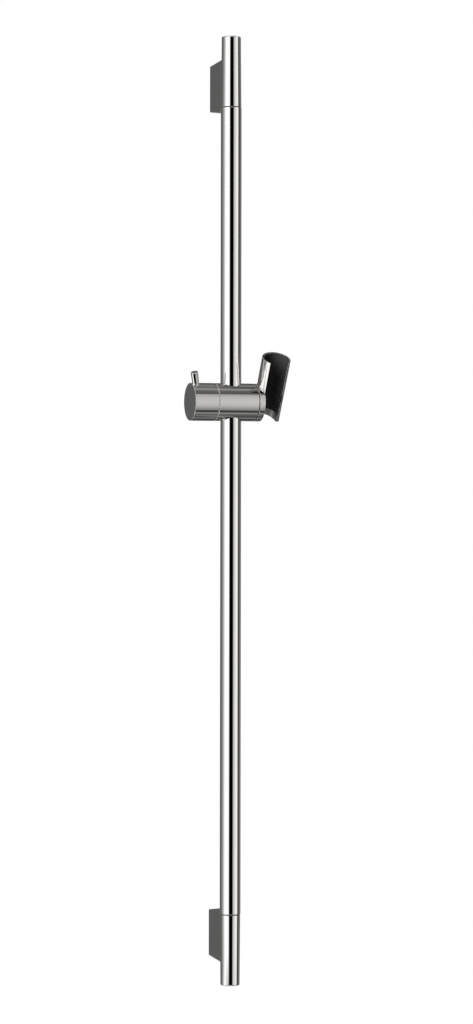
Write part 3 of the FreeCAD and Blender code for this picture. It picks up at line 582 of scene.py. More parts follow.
def barrel():
    """Barrel with its crowned end and the spigot, along X with the joint at 0."""
    groove_near, groove_far, groove_floor = SEAL_GROOVE
    low = BARREL_LENGTH - BARREL_CROWN_RADIUS
    inner = BARREL_CROWN_RADIUS - BARREL_ROUND
    round_across = BARREL_END_RADIUS - BARREL_ROUND
    round_along = math.sqrt(inner ** 2 - round_across ** 2)
    spread = math.asin(round_across / inner)
    corners = [
        (-SPIGOT_LENGTH, 0.0),
        (-SPIGOT_LENGTH, SPIGOT_RADIUS),
        (-groove_far, SPIGOT_RADIUS),
        (-groove_far, groove_floor),
        (-groove_near, groove_floor),
        (-groove_near, SPIGOT_RADIUS),
        (0.0, SPIGOT_RADIUS),
        (0.0, BARREL_JOINT_RADIUS - JOINT_EDGE),
        (JOINT_EDGE, BARREL_JOINT_RADIUS),
    ]
    end = Vector((low + round_along, BARREL_END_RADIUS))
    side = Vector(corners[-1]) - end
    corners.append(end + side.normalized() * HOLD)
    for step in range(CROWN_STEPS + 1):
        angle = spread + (TURN / 4 - spread) * (1 - step / CROWN_STEPS)
        along, across = BARREL_ROUND * math.cos(angle), BARREL_ROUND * math.sin(angle)
        corners.append((low + round_along + along, round_across + across))
    for step in range(1, CROWN_STEPS + 1):
        angle = spread * (1 - step / CROWN_STEPS)
        corners.append((low + BARREL_CROWN_RADIUS * math.cos(angle), BARREL_CROWN_RADIUS * math.sin(angle)))
    return turned(corners, closed=False)


def foot(standoff, middle):
    """Flat-sided foot from the wall to the barrel axis, in the bracket's frame."""
    rows = []
    for depth in (0.0, standoff):
        low = middle - FOOT_HALF_HEIGHT - (standoff - depth) * math.tan(FOOT_INNER_FLARE)
        high = middle + FOOT_HALF_HEIGHT + (standoff - depth) * math.tan(FOOT_OUTER_FLARE)
        corners = [(-FOOT_HALF, low), (FOOT_HALF, low), (FOOT_HALF, high), (-FOOT_HALF, high)]
        rows.append([(point.x, depth, point.y) for point in softened(corners, FOOT_ROUND)])
    count = len(rows[0])
    faces = [(i, (i + 1) % count, count + (i + 1) % count, count + i) for i in range(count)]
    faces += [tuple(range(count)), tuple(range(count, 2 * count))]
    mesh = bpy.data.meshes.new("foot")
    mesh.from_pydata(rows[0] + rows[1], [], faces)
    return mesh


def bracket(end, turn):
    """One bracket; the lower one is the upper one turned over about Y."""
    joint_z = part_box("upper_joint_ring")[1].z
    axis = middle_of("upper_joint_ring")
    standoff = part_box("upper_bracket")[1].y - axis.y
    middle = middle_of("upper_wall_block").z - joint_z
    tube_low, tube_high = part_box("rail_tube")
    saddle = (tube_high.x - tube_low.x) / 2 + SADDLE_GAP
    far = BARREL_LENGTH
    solid = foot(standoff, middle)
    solid = combined(solid, block((-far, -far, -far), (far, SADDLE_FRONT, 0.0)), "DIFFERENCE")
    solid = combined(solid, moved(rod(-far, 0.0, saddle, FINE), TO_Z), "DIFFERENCE")
    solid = combined(solid, moved(barrel(), TO_Z), "UNION")
    side = FOOT_HALF - CAVITY_SIDE_WALL
    reach = FOOT_HALF_HEIGHT - CAVITY_END_WALL
    hollow = block((-side, standoff - CAVITY_DEPTH, middle - reach), (side, standoff + far, middle + reach))
    solid = combined(solid, hollow, "DIFFERENCE")
    hole = moved(rod(-far, middle, BRACKET_GRUB_HOLE), at(0.0, standoff - BRACKET_GRUB_SETBACK, 0.0), TO_Z)
    solid = combined(solid, hole, "DIFFERENCE")
    solid = moved(solid, Matrix.Rotation(turn, 4, "Y"), at(axis.x, axis.y, joint_z))
    dress(f"{end}_bracket", solid, "polished_chrome", CREASE)


def flat_ring(node, slot, along, radius):
    """A washer-like piece along X or Z, from its box and its inner radius."""
    low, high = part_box(node)
    middle = middle_of(node)
    if along == "X":
        mesh = ring(low.x, high.x, radius, (high.y - low.y) / 2, SEAM_RING_EDGE, FINISHES[slot])
        place = (at(0.0, middle.y, middle.z),)
    else:
        mesh = ring(low.z, high.z, radius, (high.x - low.x) / 2, SEAM_RING_EDGE, FINISHES[slot])
        place = (at(middle.x, middle.y, 0.0), TO_Z)
    dress(node, moved(mesh, *place), slot)


# Slider

def slider_shell(centre):
    """The housing with its neck on the left, open on the right, and the mouths for the tube."""
    low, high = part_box("slider_shell")
    neck, right = low.x, high.x
    outside = shell_radius()
    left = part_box("glide_ring")[1].x
    near, far, floor = NECK_SEAL_GROOVE
    inner = left + SHELL_END_WALL
    edge = SLIDER_EDGE
    corners = [
        (neck, SPINDLE_HOLE, 0.0),
        (neck, NECK_RADIUS, edge),
        (left - far, NECK_RADIUS, 0.0),
        (left - far, floor, 0.0),
        (left - near, floor, 0.0),
        (left - near, NECK_RADIUS, 0.0),
        (left, NECK_RADIUS, 0.0),
        (left, outside, edge),
        (right, outside, edge),
        (right, SHELL_BORE, 0.0),
        (inner, SHELL_BORE, 0.0),
        (inner, PLUNGER_BORE, 0.0),
        (neck + NECK_END_WALL, PLUNGER_BORE, 0.0),
        (neck + NECK_END_WALL, SPINDLE_HOLE, 0.0),
    ]
    solid = turned(corners)
    mouths = moved(rod(-2 * outside, 2 * outside, MOUTH_RADIUS, FINE), TO_Z)
    solid = combined(solid, mouths, "DIFFERENCE")
    grub = middle_of("plate_grub_screw") - centre
    hole = moved(rod(SHELL_BORE / 2, 2 * outside, PLATE_GRUB_HOLE), at(grub.x, 0.0, 0.0), TO_Y)
    solid = combined(solid, hole, "DIFFERENCE")
    dress("slider_shell", moved(solid, at(*centre)), "polished_chrome")


def lever_axis(centre):
    """Frame of the lever pin: Z along it, origin on the slider axis."""
    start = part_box("clamp_knob")[0].x + LEVER_BASE_SETBACK + shell_radius() * math.tan(LEVER_SPLAY)
    lean = Matrix.Rotation(LEVER_LEAN, 4, "X")
    splay = Matrix.Rotation(-LEVER_SPLAY, 4, "Y")
    return at(start, centre.y, centre.z), lean, splay


def clamp_knob(centre):
    """The knob, hollow round the housing's neck, with the seat of the lever pin."""
    outside = shell_radius()
    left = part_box("clamp_knob")[0].x
    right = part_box("clamp_knob")[1].x
    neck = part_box("slider_shell")[0].x
    hole = NECK_RADIUS + RUNNING_FIT
    floor = neck - KNOB_FLOOR_ROOM
    edge = SLIDER_EDGE
    corners = [
        (left, 0.0, 0.0),
        (left, outside, edge),
        (right, outside, edge),
        (right, outside - KNOB_RIM_WALL, 0.0),
        (right - KNOB_CORE_DEPTH, outside - KNOB_RIM_WALL, 0.0),
        (right - KNOB_CORE_DEPTH, hole + KNOB_HUB_WALL, 0.0),
        (right, hole + KNOB_HUB_WALL, 0.0),
        (right, hole, 0.0),
        (floor, hole, 0.0),
        (floor, KNOB_SOCKET, 0.0),
        (left + KNOB_END_WALL, KNOB_SOCKET, 0.0),
        (left + KNOB_END_WALL, 0.0, 0.0),
    ]
    solid = moved(turned(corners, closed=False), at(0.0, centre.y, centre.z))
    base = outside / math.cos(LEVER_SPLAY) - LEVER_SUNK
    seat = rod(base, 2 * outside, LEVER_BASE_RADIUS + SEAT_FIT)
    stud = rod(LEVER_STUD_END - KNOB_SOCKET, base + LEVER_SUNK / 2, LEVER_STUD_RADIUS + SEAT_FIT)
    for tool in (seat, stud):
        solid = combined(solid, moved(tool, *lever_axis(centre), TO_Z), "DIFFERENCE")
    dress("clamp_knob", solid, "polished_chrome")


def lever_pin(centre):
    """The tapered pin with its threaded stud."""
    base = shell_radius() / math.cos(LEVER_SPLAY)
    tip = base + LEVER_LENGTH
    stud, thread = thread_rows(LEVER_STUD_END, base - LEVER_SUNK, LEVER_STUD_RADIUS, LEVER_PITCH)
    corners = [
        (LEVER_STUD_END, 0.0, 0.0),
        *stud,
        (base - LEVER_SUNK, LEVER_BASE_RADIUS, 0.0),
        (base, LEVER_BASE_RADIUS, 0.0),
        (tip, LEVER_TIP_RADIUS, LEVER_EDGE),
        (tip, 0.0, 0.0),
    ]
    mesh = turned(corners, closed=False, thread=thread, finish=FINISHES["polished_chrome"])
    dress("lever_pin", moved(mesh, *lever_axis(centre), TO_Z), "polished_chrome")


def grub_screw(node, key, pitch, place):
    """A headless screw along X with a hexagon socket in its near end; key is the width across its flats."""
    low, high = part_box(node)
    sizes = sorted(high - low)
    radius, length = sizes[0] / 2, sizes[2]
    rows, thread = thread_rows(0.0, length, radius, pitch)
    corners = [(0.0, 0.0), *rows, (length, 0.0)]
    solid = turned(corners, segments=THREAD_SEGMENTS, closed=False, thread=thread)
    socket = rod(-length, length / 2, key / math.sqrt(3), HEXAGON)
    dress(node, moved(combined(solid, socket, "DIFFERENCE"), *place), "bright_steel")


def grub_screws():
    """The brackets' screws, the lower one turned over like its bracket, and the pivot plate's."""
    middle = middle_of("upper_grub_screw")
    foot_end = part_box("upper_grub_screw")[0].z
    for end, turn in (("upper", 0.0), ("lower", TURN / 2)):
        place = (Matrix.Rotation(turn, 4, "Y"), at(middle.x, middle.y, foot_end), TO_Z)
        grub_screw(f"{end}_grub_screw", BRACKET_GRUB_KEY, BRACKET_GRUB_PITCH, place)
    middle = middle_of("plate_grub_screw")
    back_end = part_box("plate_grub_screw")[1].y
    place = (at(middle.x, back_end, middle.z), TO_Y.inverted())
    grub_screw("plate_grub_screw", PLATE_GRUB_KEY, PLATE_GRUB_PITCH, place)


def threaded_steel(node, corners, thread, centre):
    """A turned and threaded steel piece on the slider's axis."""
    steel = FINISHES["bright_steel"]
    mesh = turned(corners, segments=THREAD_SEGMENTS, closed=False, thread=thread, finish=steel)
    dress(node, moved(mesh, at(0.0, centre.y, centre.z)), "bright_steel")


def clamp_spindle(centre):
    """Spindle with a left-hand thread, so that a clockwise turn clamps."""
    low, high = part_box("clamp_spindle")
    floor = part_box("slider_shell")[0].x - KNOB_FLOOR_ROOM
    clip_low, clip_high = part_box("spindle_clip")
    groove_left, groove_right = clip_low.x - CLIP_ROOM, clip_high.x + CLIP_ROOM
    rows, thread = thread_rows(groove_right, high.x, SPINDLE_RADIUS, SPINDLE_PITCH, LEFT_HAND)
    corners = [
        (low.x, 0.0),
        (low.x, SPINDLE_HEAD_RADIUS),
        (floor, SPINDLE_HEAD_RADIUS),
        (floor, SPINDLE_RADIUS),
        (groove_left, SPINDLE_RADIUS),
        (groove_left, SPINDLE_RADIUS - CLIP_GROOVE_DEPTH),
        (groove_right, SPINDLE_RADIUS - CLIP_GROOVE_DEPTH),
        *rows,
        (high.x, 0.0),
    ]
    threaded_steel("clamp_spindle", corners, thread, centre)


def pivot_bolt(centre):
    """The holder's bolt with its sunk head."""
    low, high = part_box("pivot_bolt")
    thread_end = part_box("lock_nut")[1].x + BOLT_PLAIN
    rows, thread = thread_rows(low.x, thread_end, BOLT_RADIUS, BOLT_PITCH)
    corners = [
        (low.x, 0.0),
        *rows,
        (high.x - (BOLT_HEAD_RADIUS - BOLT_RADIUS), BOLT_RADIUS),
        (high.x, BOLT_HEAD_RADIUS),
        (high.x, 0.0),
    ]
    threaded_steel("pivot_bolt", corners, thread, centre)


# Holder

def slotted_loop(outside, inside, half, lips):
    """Points of a slotted ring's section, from the middle of the left lip round the outside and back inside.

    lips are the edge radii of the lips, outside and inside. Point k lies across the wall from point -1 - k.
    """
    def lip_point(radius, turn):
        """Corner where a wall circle would meet the slot's face."""
        return Vector((turn * half, -math.sqrt(radius ** 2 - half ** 2)))

    def arc(radius, turn, lip):
        """Points of a wall circle from one lip to the other."""
        widest = TURN / 2 - math.asin(half / radius) - lip / radius
        angles = [turn * widest * (2 * step / SLEEVE_STEPS - 1) for step in range(SLEEVE_STEPS + 1)]
        return [Vector((radius * math.sin(angle), radius * math.cos(angle))) for angle in angles]

    def corner(start, middle, end):
        """A round corner between two wall points, without its ends."""
        spots = []
        for step in range(1, LIP_STEPS):
            share = step / LIP_STEPS
            spots.append(start * (1 - share) ** 2 + middle * 2 * share * (1 - share) + end * share ** 2)
        return spots

    over, under = arc(outside, 1, lips[0]), arc(inside, -1, lips[1])
    loop = []
    for turn, wall, radius, drop in (
            (-1, over, outside, lips[0]), (1, over, outside, lips[0]),
            (1, under, inside, -lips[1]), (-1, under, inside, -lips[1])):
        tip = lip_point(radius, turn)
        face = tip + Vector((0.0, drop))
        first = (turn < 0) == (wall is over)
        if first:
            loop += [face] + corner(face, tip, wall[0]) + wall
        else:
            loop += corner(wall[-1], tip, face) + [face]
    return loop


def slotted_sleeve(stations, lips):
    """A closed slotted sleeve about Z; a station has two radii, an inset and a rule for heights."""
    rows = []
    for outside, inside, inset, height in stations:
        loop = slotted_loop(outside - inset, inside + inset, SLOT_HALF + inset, lips)
        rows.append([(point.x, point.y, height(point)) for point in loop])
    count = len(rows[0])
    points = [point for row in rows for point in row]
    faces = []
    for row in range(len(rows) - 1):
        base = row * count
        for i in range(count):
            after = (i + 1) % count
            faces.append((base + i, base + after, base + count + after, base + count + i))
    for base in (0, (len(rows) - 1) * count):
        for i in range(count // 2 - 1):
            faces.append((base + i, base + i + 1, base + count - 2 - i, base + count - 1 - i))
    mesh = bpy.data.meshes.new("sleeve")
    mesh.from_pydata(points, [], faces)
    return mesh


def sleeve_outside(height):
    """Outer radius of the holder's sleeve at a height."""
    return CUP_RIM_RADIUS - (CUP_RIM_HEIGHT - height) * CUP_DRAFT


def sleeve_inside(height):
    """Inner radius of the holder's sleeve at a height above the step."""
    return CUP_RIM_RADIUS - CUP_WALL - (CUP_RIM_HEIGHT - height) * SOCKET_DRAFT


def throat_radius():
    """Inner radius of the sleeve below the liner."""
    return sleeve_inside(-LINER_DROP) - LINER_WALL


def tail_height(point):
    """Height of the sleeve's rounded lower end at a point of its section."""
    return -math.sqrt(TAIL_RADIUS ** 2 - (point.y - TAIL_SETBACK) ** 2)


def edge_rounds(radius, outwards):
    """(inset, rise) steps of a rounded end edge; outwards runs towards the end."""
    steps = []
    for step in range(EDGE_STEPS + 1):
        angle = TURN / 4 * step / EDGE_STEPS
        steps.append((radius * (1 - math.cos(angle)), radius * math.sin(angle)))
    return steps if outwards else list(reversed(steps))


def cup_sleeve():
    """The holder's sleeve from its tail to its rim, with the step that the liner stands on."""
    stations = []
    throat = throat_radius()
    tail = sleeve_outside(-TAIL_RADIUS)
    edge = RIM_ROUND
    for inset, rise in edge_rounds(edge, False):
        stations.append((tail, throat, inset, lambda point, up=edge - rise: tail_height(point) + up))
    stations.append((tail, throat, 0.0, lambda point: tail_height(point) + edge + HOLD))
    step = -LINER_DROP
    for inside, lift in ((throat, -STEP_GAP), (sleeve_inside(step), 0.0)):
        stations.append((sleeve_outside(step), inside, 0.0, lambda point, up=step + lift: up))
    rim = CUP_RIM_HEIGHT - edge
    stations.append((sleeve_outside(rim - HOLD), sleeve_inside(rim - HOLD), 0.0, lambda point: rim - HOLD))
    for inset, rise in edge_rounds(edge, True):
        stations.append((CUP_RIM_RADIUS, sleeve_inside(rim), inset, lambda point, up=rim + rise: up))
    return slotted_sleeve(stations, CUP_LIP_ROUNDS)


def cup_hub(near):
    """Disc of the hub about X with the socket's bore taken out."""
    outside = shell_radius()
    far = -SLOT_HALF - STEP_GAP
    corners = [
        (near, BOLT_HOLE, 0.0),
        (near, outside, SLIDER_EDGE),
        (far, outside, SLIDER_EDGE),
        (far, BOLT_HOLE, 0.0),
    ]
    hub = turned(corners)
    step = -LINER_DROP
    throat = throat_radius()
    low, high = -2 * TAIL_RADIUS, 2 * CUP_RIM_HEIGHT
    bore = [
        (low, 0.0),
        (low, throat + STEP_GAP),
        (step, throat + STEP_GAP),
        (step, sleeve_inside(step) + STEP_GAP),
        (high, sleeve_inside(high) + STEP_GAP),
        (high, 0.0),
    ]
    return combined(hub, moved(turned(bore, closed=False), TO_Z), "DIFFERENCE")


def holder_axis():
    """Place of the sleeve's axis along X."""
    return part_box("holder_cup")[1].x - CUP_RIM_RADIUS


def holder_frame(centre):
    """Frame of the holder: Z along the sleeve, origin on the slider axis."""
    return at(holder_axis(), centre.y, centre.z), Matrix.Rotation(CUP_TILT, 4, "X")


def mark_raw_and_shaded_throat(mesh):
    """Mark the throat below the liner, which the polishing wheel doesn't reach and which is painted darker as
    shade in the hollow.
    """
    reach = throat_radius() + 3 * STEP_GAP
    # The mark roughens the throat and paints shade into its colour.
    raw_and_shade_mask = mesh.attributes.new("raw_and_shade", "FLOAT", "POINT")
    for vertex, entry in zip(mesh.vertices, raw_and_shade_mask.data):
        inside = math.hypot(vertex.co.x, vertex.co.y) < reach
        entry.value = float(inside and vertex.co.z < -LINER_DROP + STEP_GAP)


def holder_cup(centre):
    """The holder's casting: hub and sleeve in one."""
    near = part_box("holder_cup")[0].x - holder_axis()
    solid = combined(cup_sleeve(), cup_hub(near), "UNION")
    # The throat's mark darkens its colour as painted shade, besides roughening it.
    mark_raw_and_shaded_throat(solid)
    finish = FINISHES["plated_casting"]
    dress("holder_cup", moved(solid, *holder_frame(centre)), "polished_chrome", finish=finish)


def holder_liner(centre):
    """The black liner, from the step to just below the rim."""
    low = -LINER_DROP + LINER_FIT
    high = CUP_RIM_HEIGHT - LINER_SUNK
    edge = LIP_ROUND
    levels = [(low, inset, low + edge - rise) for inset, rise in edge_rounds(edge, False)]
    levels += [(height, 0.0, height) for height in (low + edge + HOLD, high - edge - HOLD)]
    levels += [(high, inset, high - edge + rise) for inset, rise in edge_rounds(edge, True)]
    stations = []
    for place, inset, height in levels:
        wall = sleeve_inside(place)
        stations.append((wall - LINER_FIT, wall - LINER_WALL, inset, lambda point, up=height: up))
    mesh = slotted_sleeve(stations, (edge, edge))
    dress("holder_liner", moved(mesh, *holder_frame(centre)), "black_plastic")


# Studio

# Grey levels of the cards by degrees of azimuth from the front, positive to the right.
LEVEL_CARDS = [
    (-180.0, 0.115), (-150.0, 0.115), (-142.0, 0.14), (-122.0, 0.24), (-106.0, 0.45), (-92.0, 0.80),
    (-80.0, 1.20), (-40.0, 1.20), (-34.0, 0.50), (-29.0, 0.0), (6.5, 0.0), (11.0, 0.38), (16.0, 0.52),
    (20.5, 0.63), (28.0, 0.71), (39.0, 0.87), (51.0, 1.02), (63.0, 0.95), (72.0, 0.05), (86.0, 0.05),
    (96.0, 0.14), (112.0, 0.19), (126.0, 0.24), (142.0, 0.16), (165.0, 0.115), (180.0, 0.115),
]
LOW_CARDS = [
    (-180.0, 0.45), (-158.0, 0.40), (-150.0, 0.10), (-134.0, 0.06), (-119.0, 0.05), (-113.0, 0.90),
    (-108.0, 1.20), (-88.0, 1.20), (-80.0, 0.70), (-72.0, 0.45), (-20.0, 0.55), (6.5, 0.42), (11.0, 0.40),
    (16.0, 0.52), (20.5, 0.63), (28.0, 0.71), (39.0, 0.80), (53.0, 0.80), (66.0, 0.70), (75.0, 0.05),
    (96.0, 0.06), (112.0, 0.07), (135.0, 0.10), (150.0, 0.13), (165.0, 0.13), (180.0, 0.45),
]
DEEP_CARDS = [
    (-180.0, 0.45), (-158.0, 0.40), (-134.0, 0.06), (-119.0, 0.05), (-113.0, 0.90), (-108.0, 1.20),
    (-72.0, 1.20), (-66.0, 0.50), (-60.0, 0.0), (6.5, 0.0), (11.0, 0.38), (16.0, 0.52), (20.5, 0.63),
    (28.0, 0.71), (39.0, 0.80), (53.0, 0.80), (66.0, 0.70), (75.0, 0.05), (96.0, 0.06), (112.0, 0.07),
    (135.0, 0.10), (150.0, 0.13), (165.0, 0.13), (180.0, 0.45),
]
HIGH_CARDS = [
    (-180.0, 0.20), (-150.0, 0.40), (-120.0, 0.50), (-95.0, 0.38), (-60.0, 0.50), (-20.0, 0.60),
    (11.0, 0.48), (16.0, 0.52), (20.5, 0.63), (28.0, 0.71), (39.0, 0.87), (51.0, 1.02), (80.0, 0.85),
    (110.0, 0.60), (135.0, 0.35), (148.0, 0.15), (165.0, 0.115), (180.0, 0.20),
]
# Elevations between which the level cards give way to others; the high ones show in first reflections alone.
CARD_BANDS = [
    (-7.8, -9.0, DEEP_CARDS), (-10.5, -12.0, LOW_CARDS), (-34.0, -38.0, DEEP_CARDS), (8.5, 12.0, HIGH_CARDS),
]
# How strong the cards on the left and on the right are by elevation.
LEFT_HEIGHT = [(-90.0, 0.0), (-45.0, 0.0), (-43.5, 1.0), (43.5, 1.0), (45.0, 0.0), (90.0, 0.0)]
RIGHT_HEIGHT = [
    (-90.0, 0.0), (-50.0, 0.0), (-49.0, 0.30), (-41.0, 0.45), (-23.0, 0.82), (-8.0, 1.0), (8.0, 1.0),
    (26.0, 0.85), (43.5, 0.55), (44.5, 0.0), (90.0, 0.0),
]
# Strips overhead and below, by the angle over the top from front to back, and their strength by elevation.
STRIPS = [
    (-180.0, 0.115), (-144.0, 0.15), (-128.0, 0.21), (-115.0, 0.19), (-105.0, 0.08), (-95.0, 0.08),
    (-87.0, 0.13), (-79.0, 0.15), (-74.0, 0.32), (-69.0, 0.22), (-65.0, 0.04), (-59.0, 0.04), (-55.0, 0.10),
    (50.0, 0.09), (57.0, 0.115), (71.0, 0.13), (77.0, 0.28), (88.0, 0.30), (93.0, 0.07), (99.0, 0.07),
    (106.0, 0.13), (115.0, 0.25), (128.0, 0.17), (144.0, 0.15), (180.0, 0.115),
]
STRIP_HEIGHT = [(-90.0, 1.0), (-52.0, 1.0), (-50.0, 0.0), (43.5, 0.0), (45.0, 1.0), (90.0, 1.0)]
# A dark flag overhead on the right: its middle across, its half width and how much it takes away.
FLAG_MIDDLE = 0.376
FLAG_REACH = 0.040
FLAG_SHARE = 0.75
# Beside the strips, a wide soft card that only first reflections show.
STRIP_MIDDLE = 0.345
STRIP_REACH = (0.10, 0.22)
WIDE_HEIGHT = [(-90.0, 1.0), (-55.0, 1.0), (-52.0, 0.0), (46.0, 0.0), (49.0, 1.0), (90.0, 1.0)]
WIDE_LEVEL = 0.55
# A ray's count of mirror bounces stays below this in a first reflection.
FIRST_DEPTH = 1.5
# Light on matt faces: a large soft key from the left, and a fill from all round.
KEY_AZIMUTH = math.radians(-57)
KEY_LIFT = math.radians(16)
KEY_EDGE = 0.87
KEY_LEVEL = 16.0
FILL_LEVEL = 0.03
HALF, QUARTER = 180.0, 90.0
SMOOTH = "SMOOTHSTEP"


def ramp(tree, angle, limit, stops):
    """Grey levels along an angle in degrees that runs from -limit to limit."""
    node = add(tree, "ShaderNodeValToRGB", {"Fac": map_range(tree, angle, -limit, limit)})
    elements = node.color_ramp.elements
    while len(elements) < len(stops):
        elements.new(1.0)
    for element, (stop, level) in zip(elements, stops):
        element.position = (stop + limit) / (2 * limit)
        element.color = (level, level, level, 1.0)
    return node.outputs["Color"]


def upright_cards(tree, azimuth, lift, first):
    """Cards and flags that stand round the object."""
    cards = ramp(tree, azimuth, HALF, LEVEL_CARDS)
    for begin, full, stops in CARD_BANDS:
        share = map_range(tree, lift, begin, full)
        if begin > 0.0:
            share = calc(tree, "MULTIPLY", share, first)
        cards = mix(tree, share, cards, ramp(tree, azimuth, HALF, stops))
    left, right = [ramp(tree, lift, QUARTER, stops) for stops in (LEFT_HEIGHT, RIGHT_HEIGHT)]
    on_right = calc(tree, "GREATER_THAN", azimuth, 0.0)
    return calc(tree, "MULTIPLY", cards, mix(tree, on_right, left, right))


def overhead_cards(tree, across, up, over, lift, first):
    """Strips, a flag and a wide soft card overhead, and the same without the flag below."""
    strips = calc(tree, "MULTIPLY", ramp(tree, over, HALF, STRIPS), ramp(tree, lift, QUARTER, STRIP_HEIGHT))
    flagged = calc(tree, "COMPARE", across, FLAG_MIDDLE, FLAG_REACH)
    flagged = calc(tree, "MULTIPLY", flagged, calc(tree, "GREATER_THAN", up, 0.0))
    strips = calc(tree, "MULTIPLY", strips, calc(tree, "MULTIPLY_ADD", flagged, -FLAG_SHARE, 1.0))
    aside = calc(tree, "ABSOLUTE", calc(tree, "SUBTRACT", across, STRIP_MIDDLE))
    wide = map_range(tree, aside, *STRIP_REACH, 0.0, WIDE_LEVEL, SMOOTH)
    steep = calc(tree, "MULTIPLY", ramp(tree, lift, QUARTER, WIDE_HEIGHT), first)
    return calc(tree, "MULTIPLY_ADD", wide, steep, strips)


def soft_key(tree, view):
    """Light that falls on matt faces."""
    reach = math.cos(KEY_LIFT)
    key = (reach * math.sin(KEY_AZIMUTH), -reach * math.cos(KEY_AZIMUTH), math.sin(KEY_LIFT))
    facing = add(tree, "ShaderNodeVectorMath", {0: view, 1: key}, operation="DOT_PRODUCT").outputs["Value"]
    return map_range(tree, facing, KEY_EDGE, 1.0, FILL_LEVEL, KEY_LEVEL, SMOOTH)


def studio():
    """White to the camera, plain light on matt faces, and cards and flags in what polished faces show."""
    world = bpy.data.worlds.new("studio")
    bpy.context.scene.world = world
    world.use_nodes = True
    tree = world.node_tree
    tree.nodes.clear()
    view = add(tree, "ShaderNodeTexCoord").outputs["Generated"]
    across, back, up = add(tree, "ShaderNodeSeparateXYZ", {0: view}).outputs
    front = calc(tree, "MULTIPLY", back, -1.0)
    azimuth = calc(tree, "DEGREES", calc(tree, "ARCTAN2", across, front))
    lift = calc(tree, "DEGREES", calc(tree, "ARCSINE", up))
    over = calc(tree, "DEGREES", calc(tree, "ARCTAN2", up, front))
    path = add(tree, "ShaderNodeLightPath").outputs
    first = calc(tree, "LESS_THAN", path["Glossy Depth"], FIRST_DEPTH)
    upright = upright_cards(tree, azimuth, lift, first)
    shown = calc(tree, "ADD", upright, overhead_cards(tree, across, up, over, lift, first))
    mirrored = mix(tree, path["Is Glossy Ray"], soft_key(tree, view), shown)
    straight = calc(tree, "MAXIMUM", path["Is Camera Ray"], path["Is Transmission Ray"])
    level = mix(tree, straight, mirrored, 1.0)
    light = add(tree, "ShaderNodeBackground", {"Color": level, "Strength": 1.0})
    add(tree, "ShaderNodeOutputWorld", {"Surface": light.outputs[0]})


FLOOR_DROP = 0.30
FLOOR_RADIUS = 1.5
FLOOR_SEGMENTS = 96
FLOOR_TONE = 0.88
FLOOR_ROUGHNESS = 0.9
# The share of white in the floor's middle, and the shares of its radius between which it turns white.
FLOOR_WHITE = 0.60
FLOOR_FADE = (0.35, 0.98)


def floor():
    """A pale round floor below the rail that fades into the white background and is clear from below."""
    low, high = cad_box
    middle = (low + high) / 2
    centre = Vector((middle.x, middle.y, low.z - FLOOR_DROP))
    work = bmesh.new()
    bmesh.ops.create_circle(work, cap_ends=True, segments=FLOOR_SEGMENTS, radius=FLOOR_RADIUS)
    mesh = bpy.data.meshes.new("floor")
    work.to_mesh(mesh)
    work.free()
    mesh.transform(at(*centre))
    pale, tree, shader = new_finish("pale_floor")
    shader.inputs["Base Color"].default_value = (FLOOR_TONE, FLOOR_TONE, FLOOR_TONE, 1.0)
    shader.inputs["Roughness"].default_value = FLOOR_ROUGHNESS
    shader.inputs["Specular IOR Level"].default_value = 0.0
    spot = add(tree, "ShaderNodeTexCoord").outputs["Object"]
    away = add(tree, "ShaderNodeVectorMath", {0: spot, 1: centre}, operation="DISTANCE").outputs["Value"]
    near, far = [share * FLOOR_RADIUS for share in FLOOR_FADE]
    fade = map_range(tree, away, near, far, FLOOR_WHITE, 1.0, SMOOTH)
    white = add(tree, "ShaderNodeEmission", {"Color": (1.0, 1.0, 1.0, 1.0), "Strength": 1.0})
    faded = add(tree, "ShaderNodeMixShader", {0: fade, 1: shader.outputs[0], 2: white.outputs[0]})
    below = add(tree, "ShaderNodeNewGeometry").outputs["Backfacing"]
    clear = add(tree, "ShaderNodeBsdfTransparent")
    one_sided = add(tree, "ShaderNodeMixShader", {0: below, 1: faded.outputs[0], 2: clear.outputs[0]})
    tree.links.new(one_sided.outputs[0], tree.nodes["Material Output"].inputs["Surface"])
    mesh.materials.append(pale)
    piece = bpy.data.objects.new("floor", mesh)
    bpy.context.scene.collection.objects.link(piece)
    piece.visible_glossy = False


# The photograph's camera: where it stands, its focal length and the rail's middle in pixels.
VIEW_AZIMUTH = math.radians(-19.2)
VIEW_DISTANCE = 3.81
VIEW_ROLL = math.radians(0.085)
VIEW_FOCAL_PIXELS = 3600.0
IMAGE_SIZE = (473.0, 1024.0)
RAIL_PIXEL = (230.65, 510.9)
SENSOR = 36.0


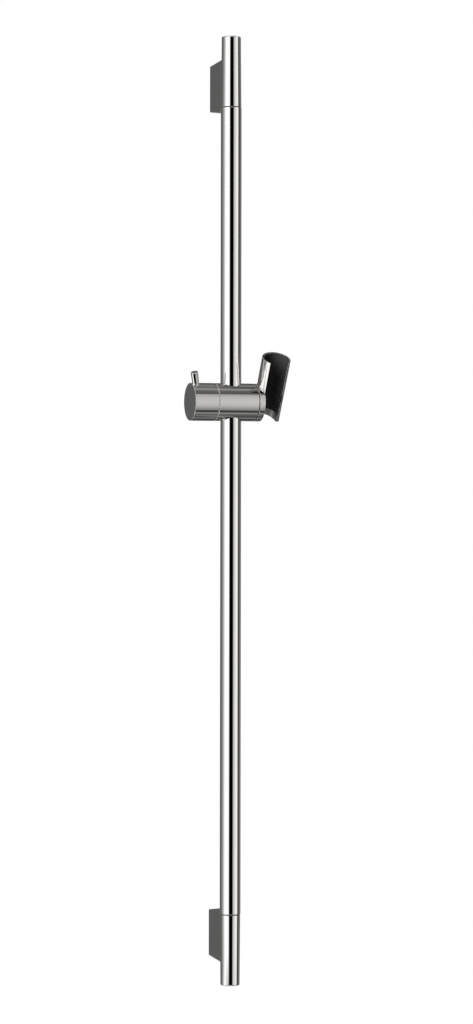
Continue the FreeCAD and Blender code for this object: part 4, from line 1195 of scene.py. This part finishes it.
def camera(axis):
    """Camera level with the rail's middle, a little to its left, framed as in the photograph."""
    data = bpy.data.cameras.new("camera")
    data.sensor_width = SENSOR
    data.lens = SENSOR * VIEW_FOCAL_PIXELS / IMAGE_SIZE[1]
    eye = bpy.data.objects.new("camera", data)
    bpy.context.scene.collection.objects.link(eye)
    back = Vector((math.sin(VIEW_AZIMUTH), -math.cos(VIEW_AZIMUTH), 0.0))
    right = Vector((math.cos(VIEW_AZIMUTH), math.sin(VIEW_AZIMUTH), 0.0))
    pixel = VIEW_DISTANCE / VIEW_FOCAL_PIXELS
    shift = right * (IMAGE_SIZE[0] / 2 - RAIL_PIXEL[0]) * pixel
    shift += Vector((0.0, 0.0, 1.0)) * (RAIL_PIXEL[1] - IMAGE_SIZE[1] / 2) * pixel
    eye.location = axis + back * VIEW_DISTANCE + shift
    eye.rotation_mode = "QUATERNION"
    eye.rotation_quaternion = Quaternion(back, VIEW_ROLL) @ (-back).to_track_quat("-Z", "Y")
    bpy.context.scene.camera = eye


def inner_pieces():
    """Pieces that stay as modelled get their finish."""
    slots = {part["node"]: part["material_slot"] for part in frame["record"]["subparts"]}
    for node, piece in frame["nodes"].items():
        if piece.hide_render:
            continue
        piece.data.materials.clear()
        piece.data.materials.append(FINISHES[slots[node]])


TURNED = turned_form()
HAZE = polish_haze()
GRAIN = moulded_grain()
FINISHES = all_finishes()

slider_centre = Vector(joint("slider_slide")["pos_m"])
rail_axis = Vector((slider_centre.x, slider_centre.y, 0.0))

rail_tube()
bracket("upper", 0.0)
bracket("lower", TURN / 2)
for end in ("upper", "lower"):
    flat_ring(f"{end}_joint_ring", "black_plastic", "Z", JOINT_RING_BORE)
slider_shell(slider_centre)
flat_ring("glide_ring", "grey_plastic", "X", GLIDE_RING_BORE)
flat_ring("friction_ring", "black_plastic", "X", FRICTION_RING_BORE)
clamp_knob(slider_centre)
lever_pin(slider_centre)
grub_screws()
clamp_spindle(slider_centre)
pivot_bolt(slider_centre)
holder_cup(slider_centre)
holder_liner(slider_centre)
inner_pieces()

studio()
floor()
camera(rail_axis)
bpy.context.scene.view_settings.view_transform = "Standard"
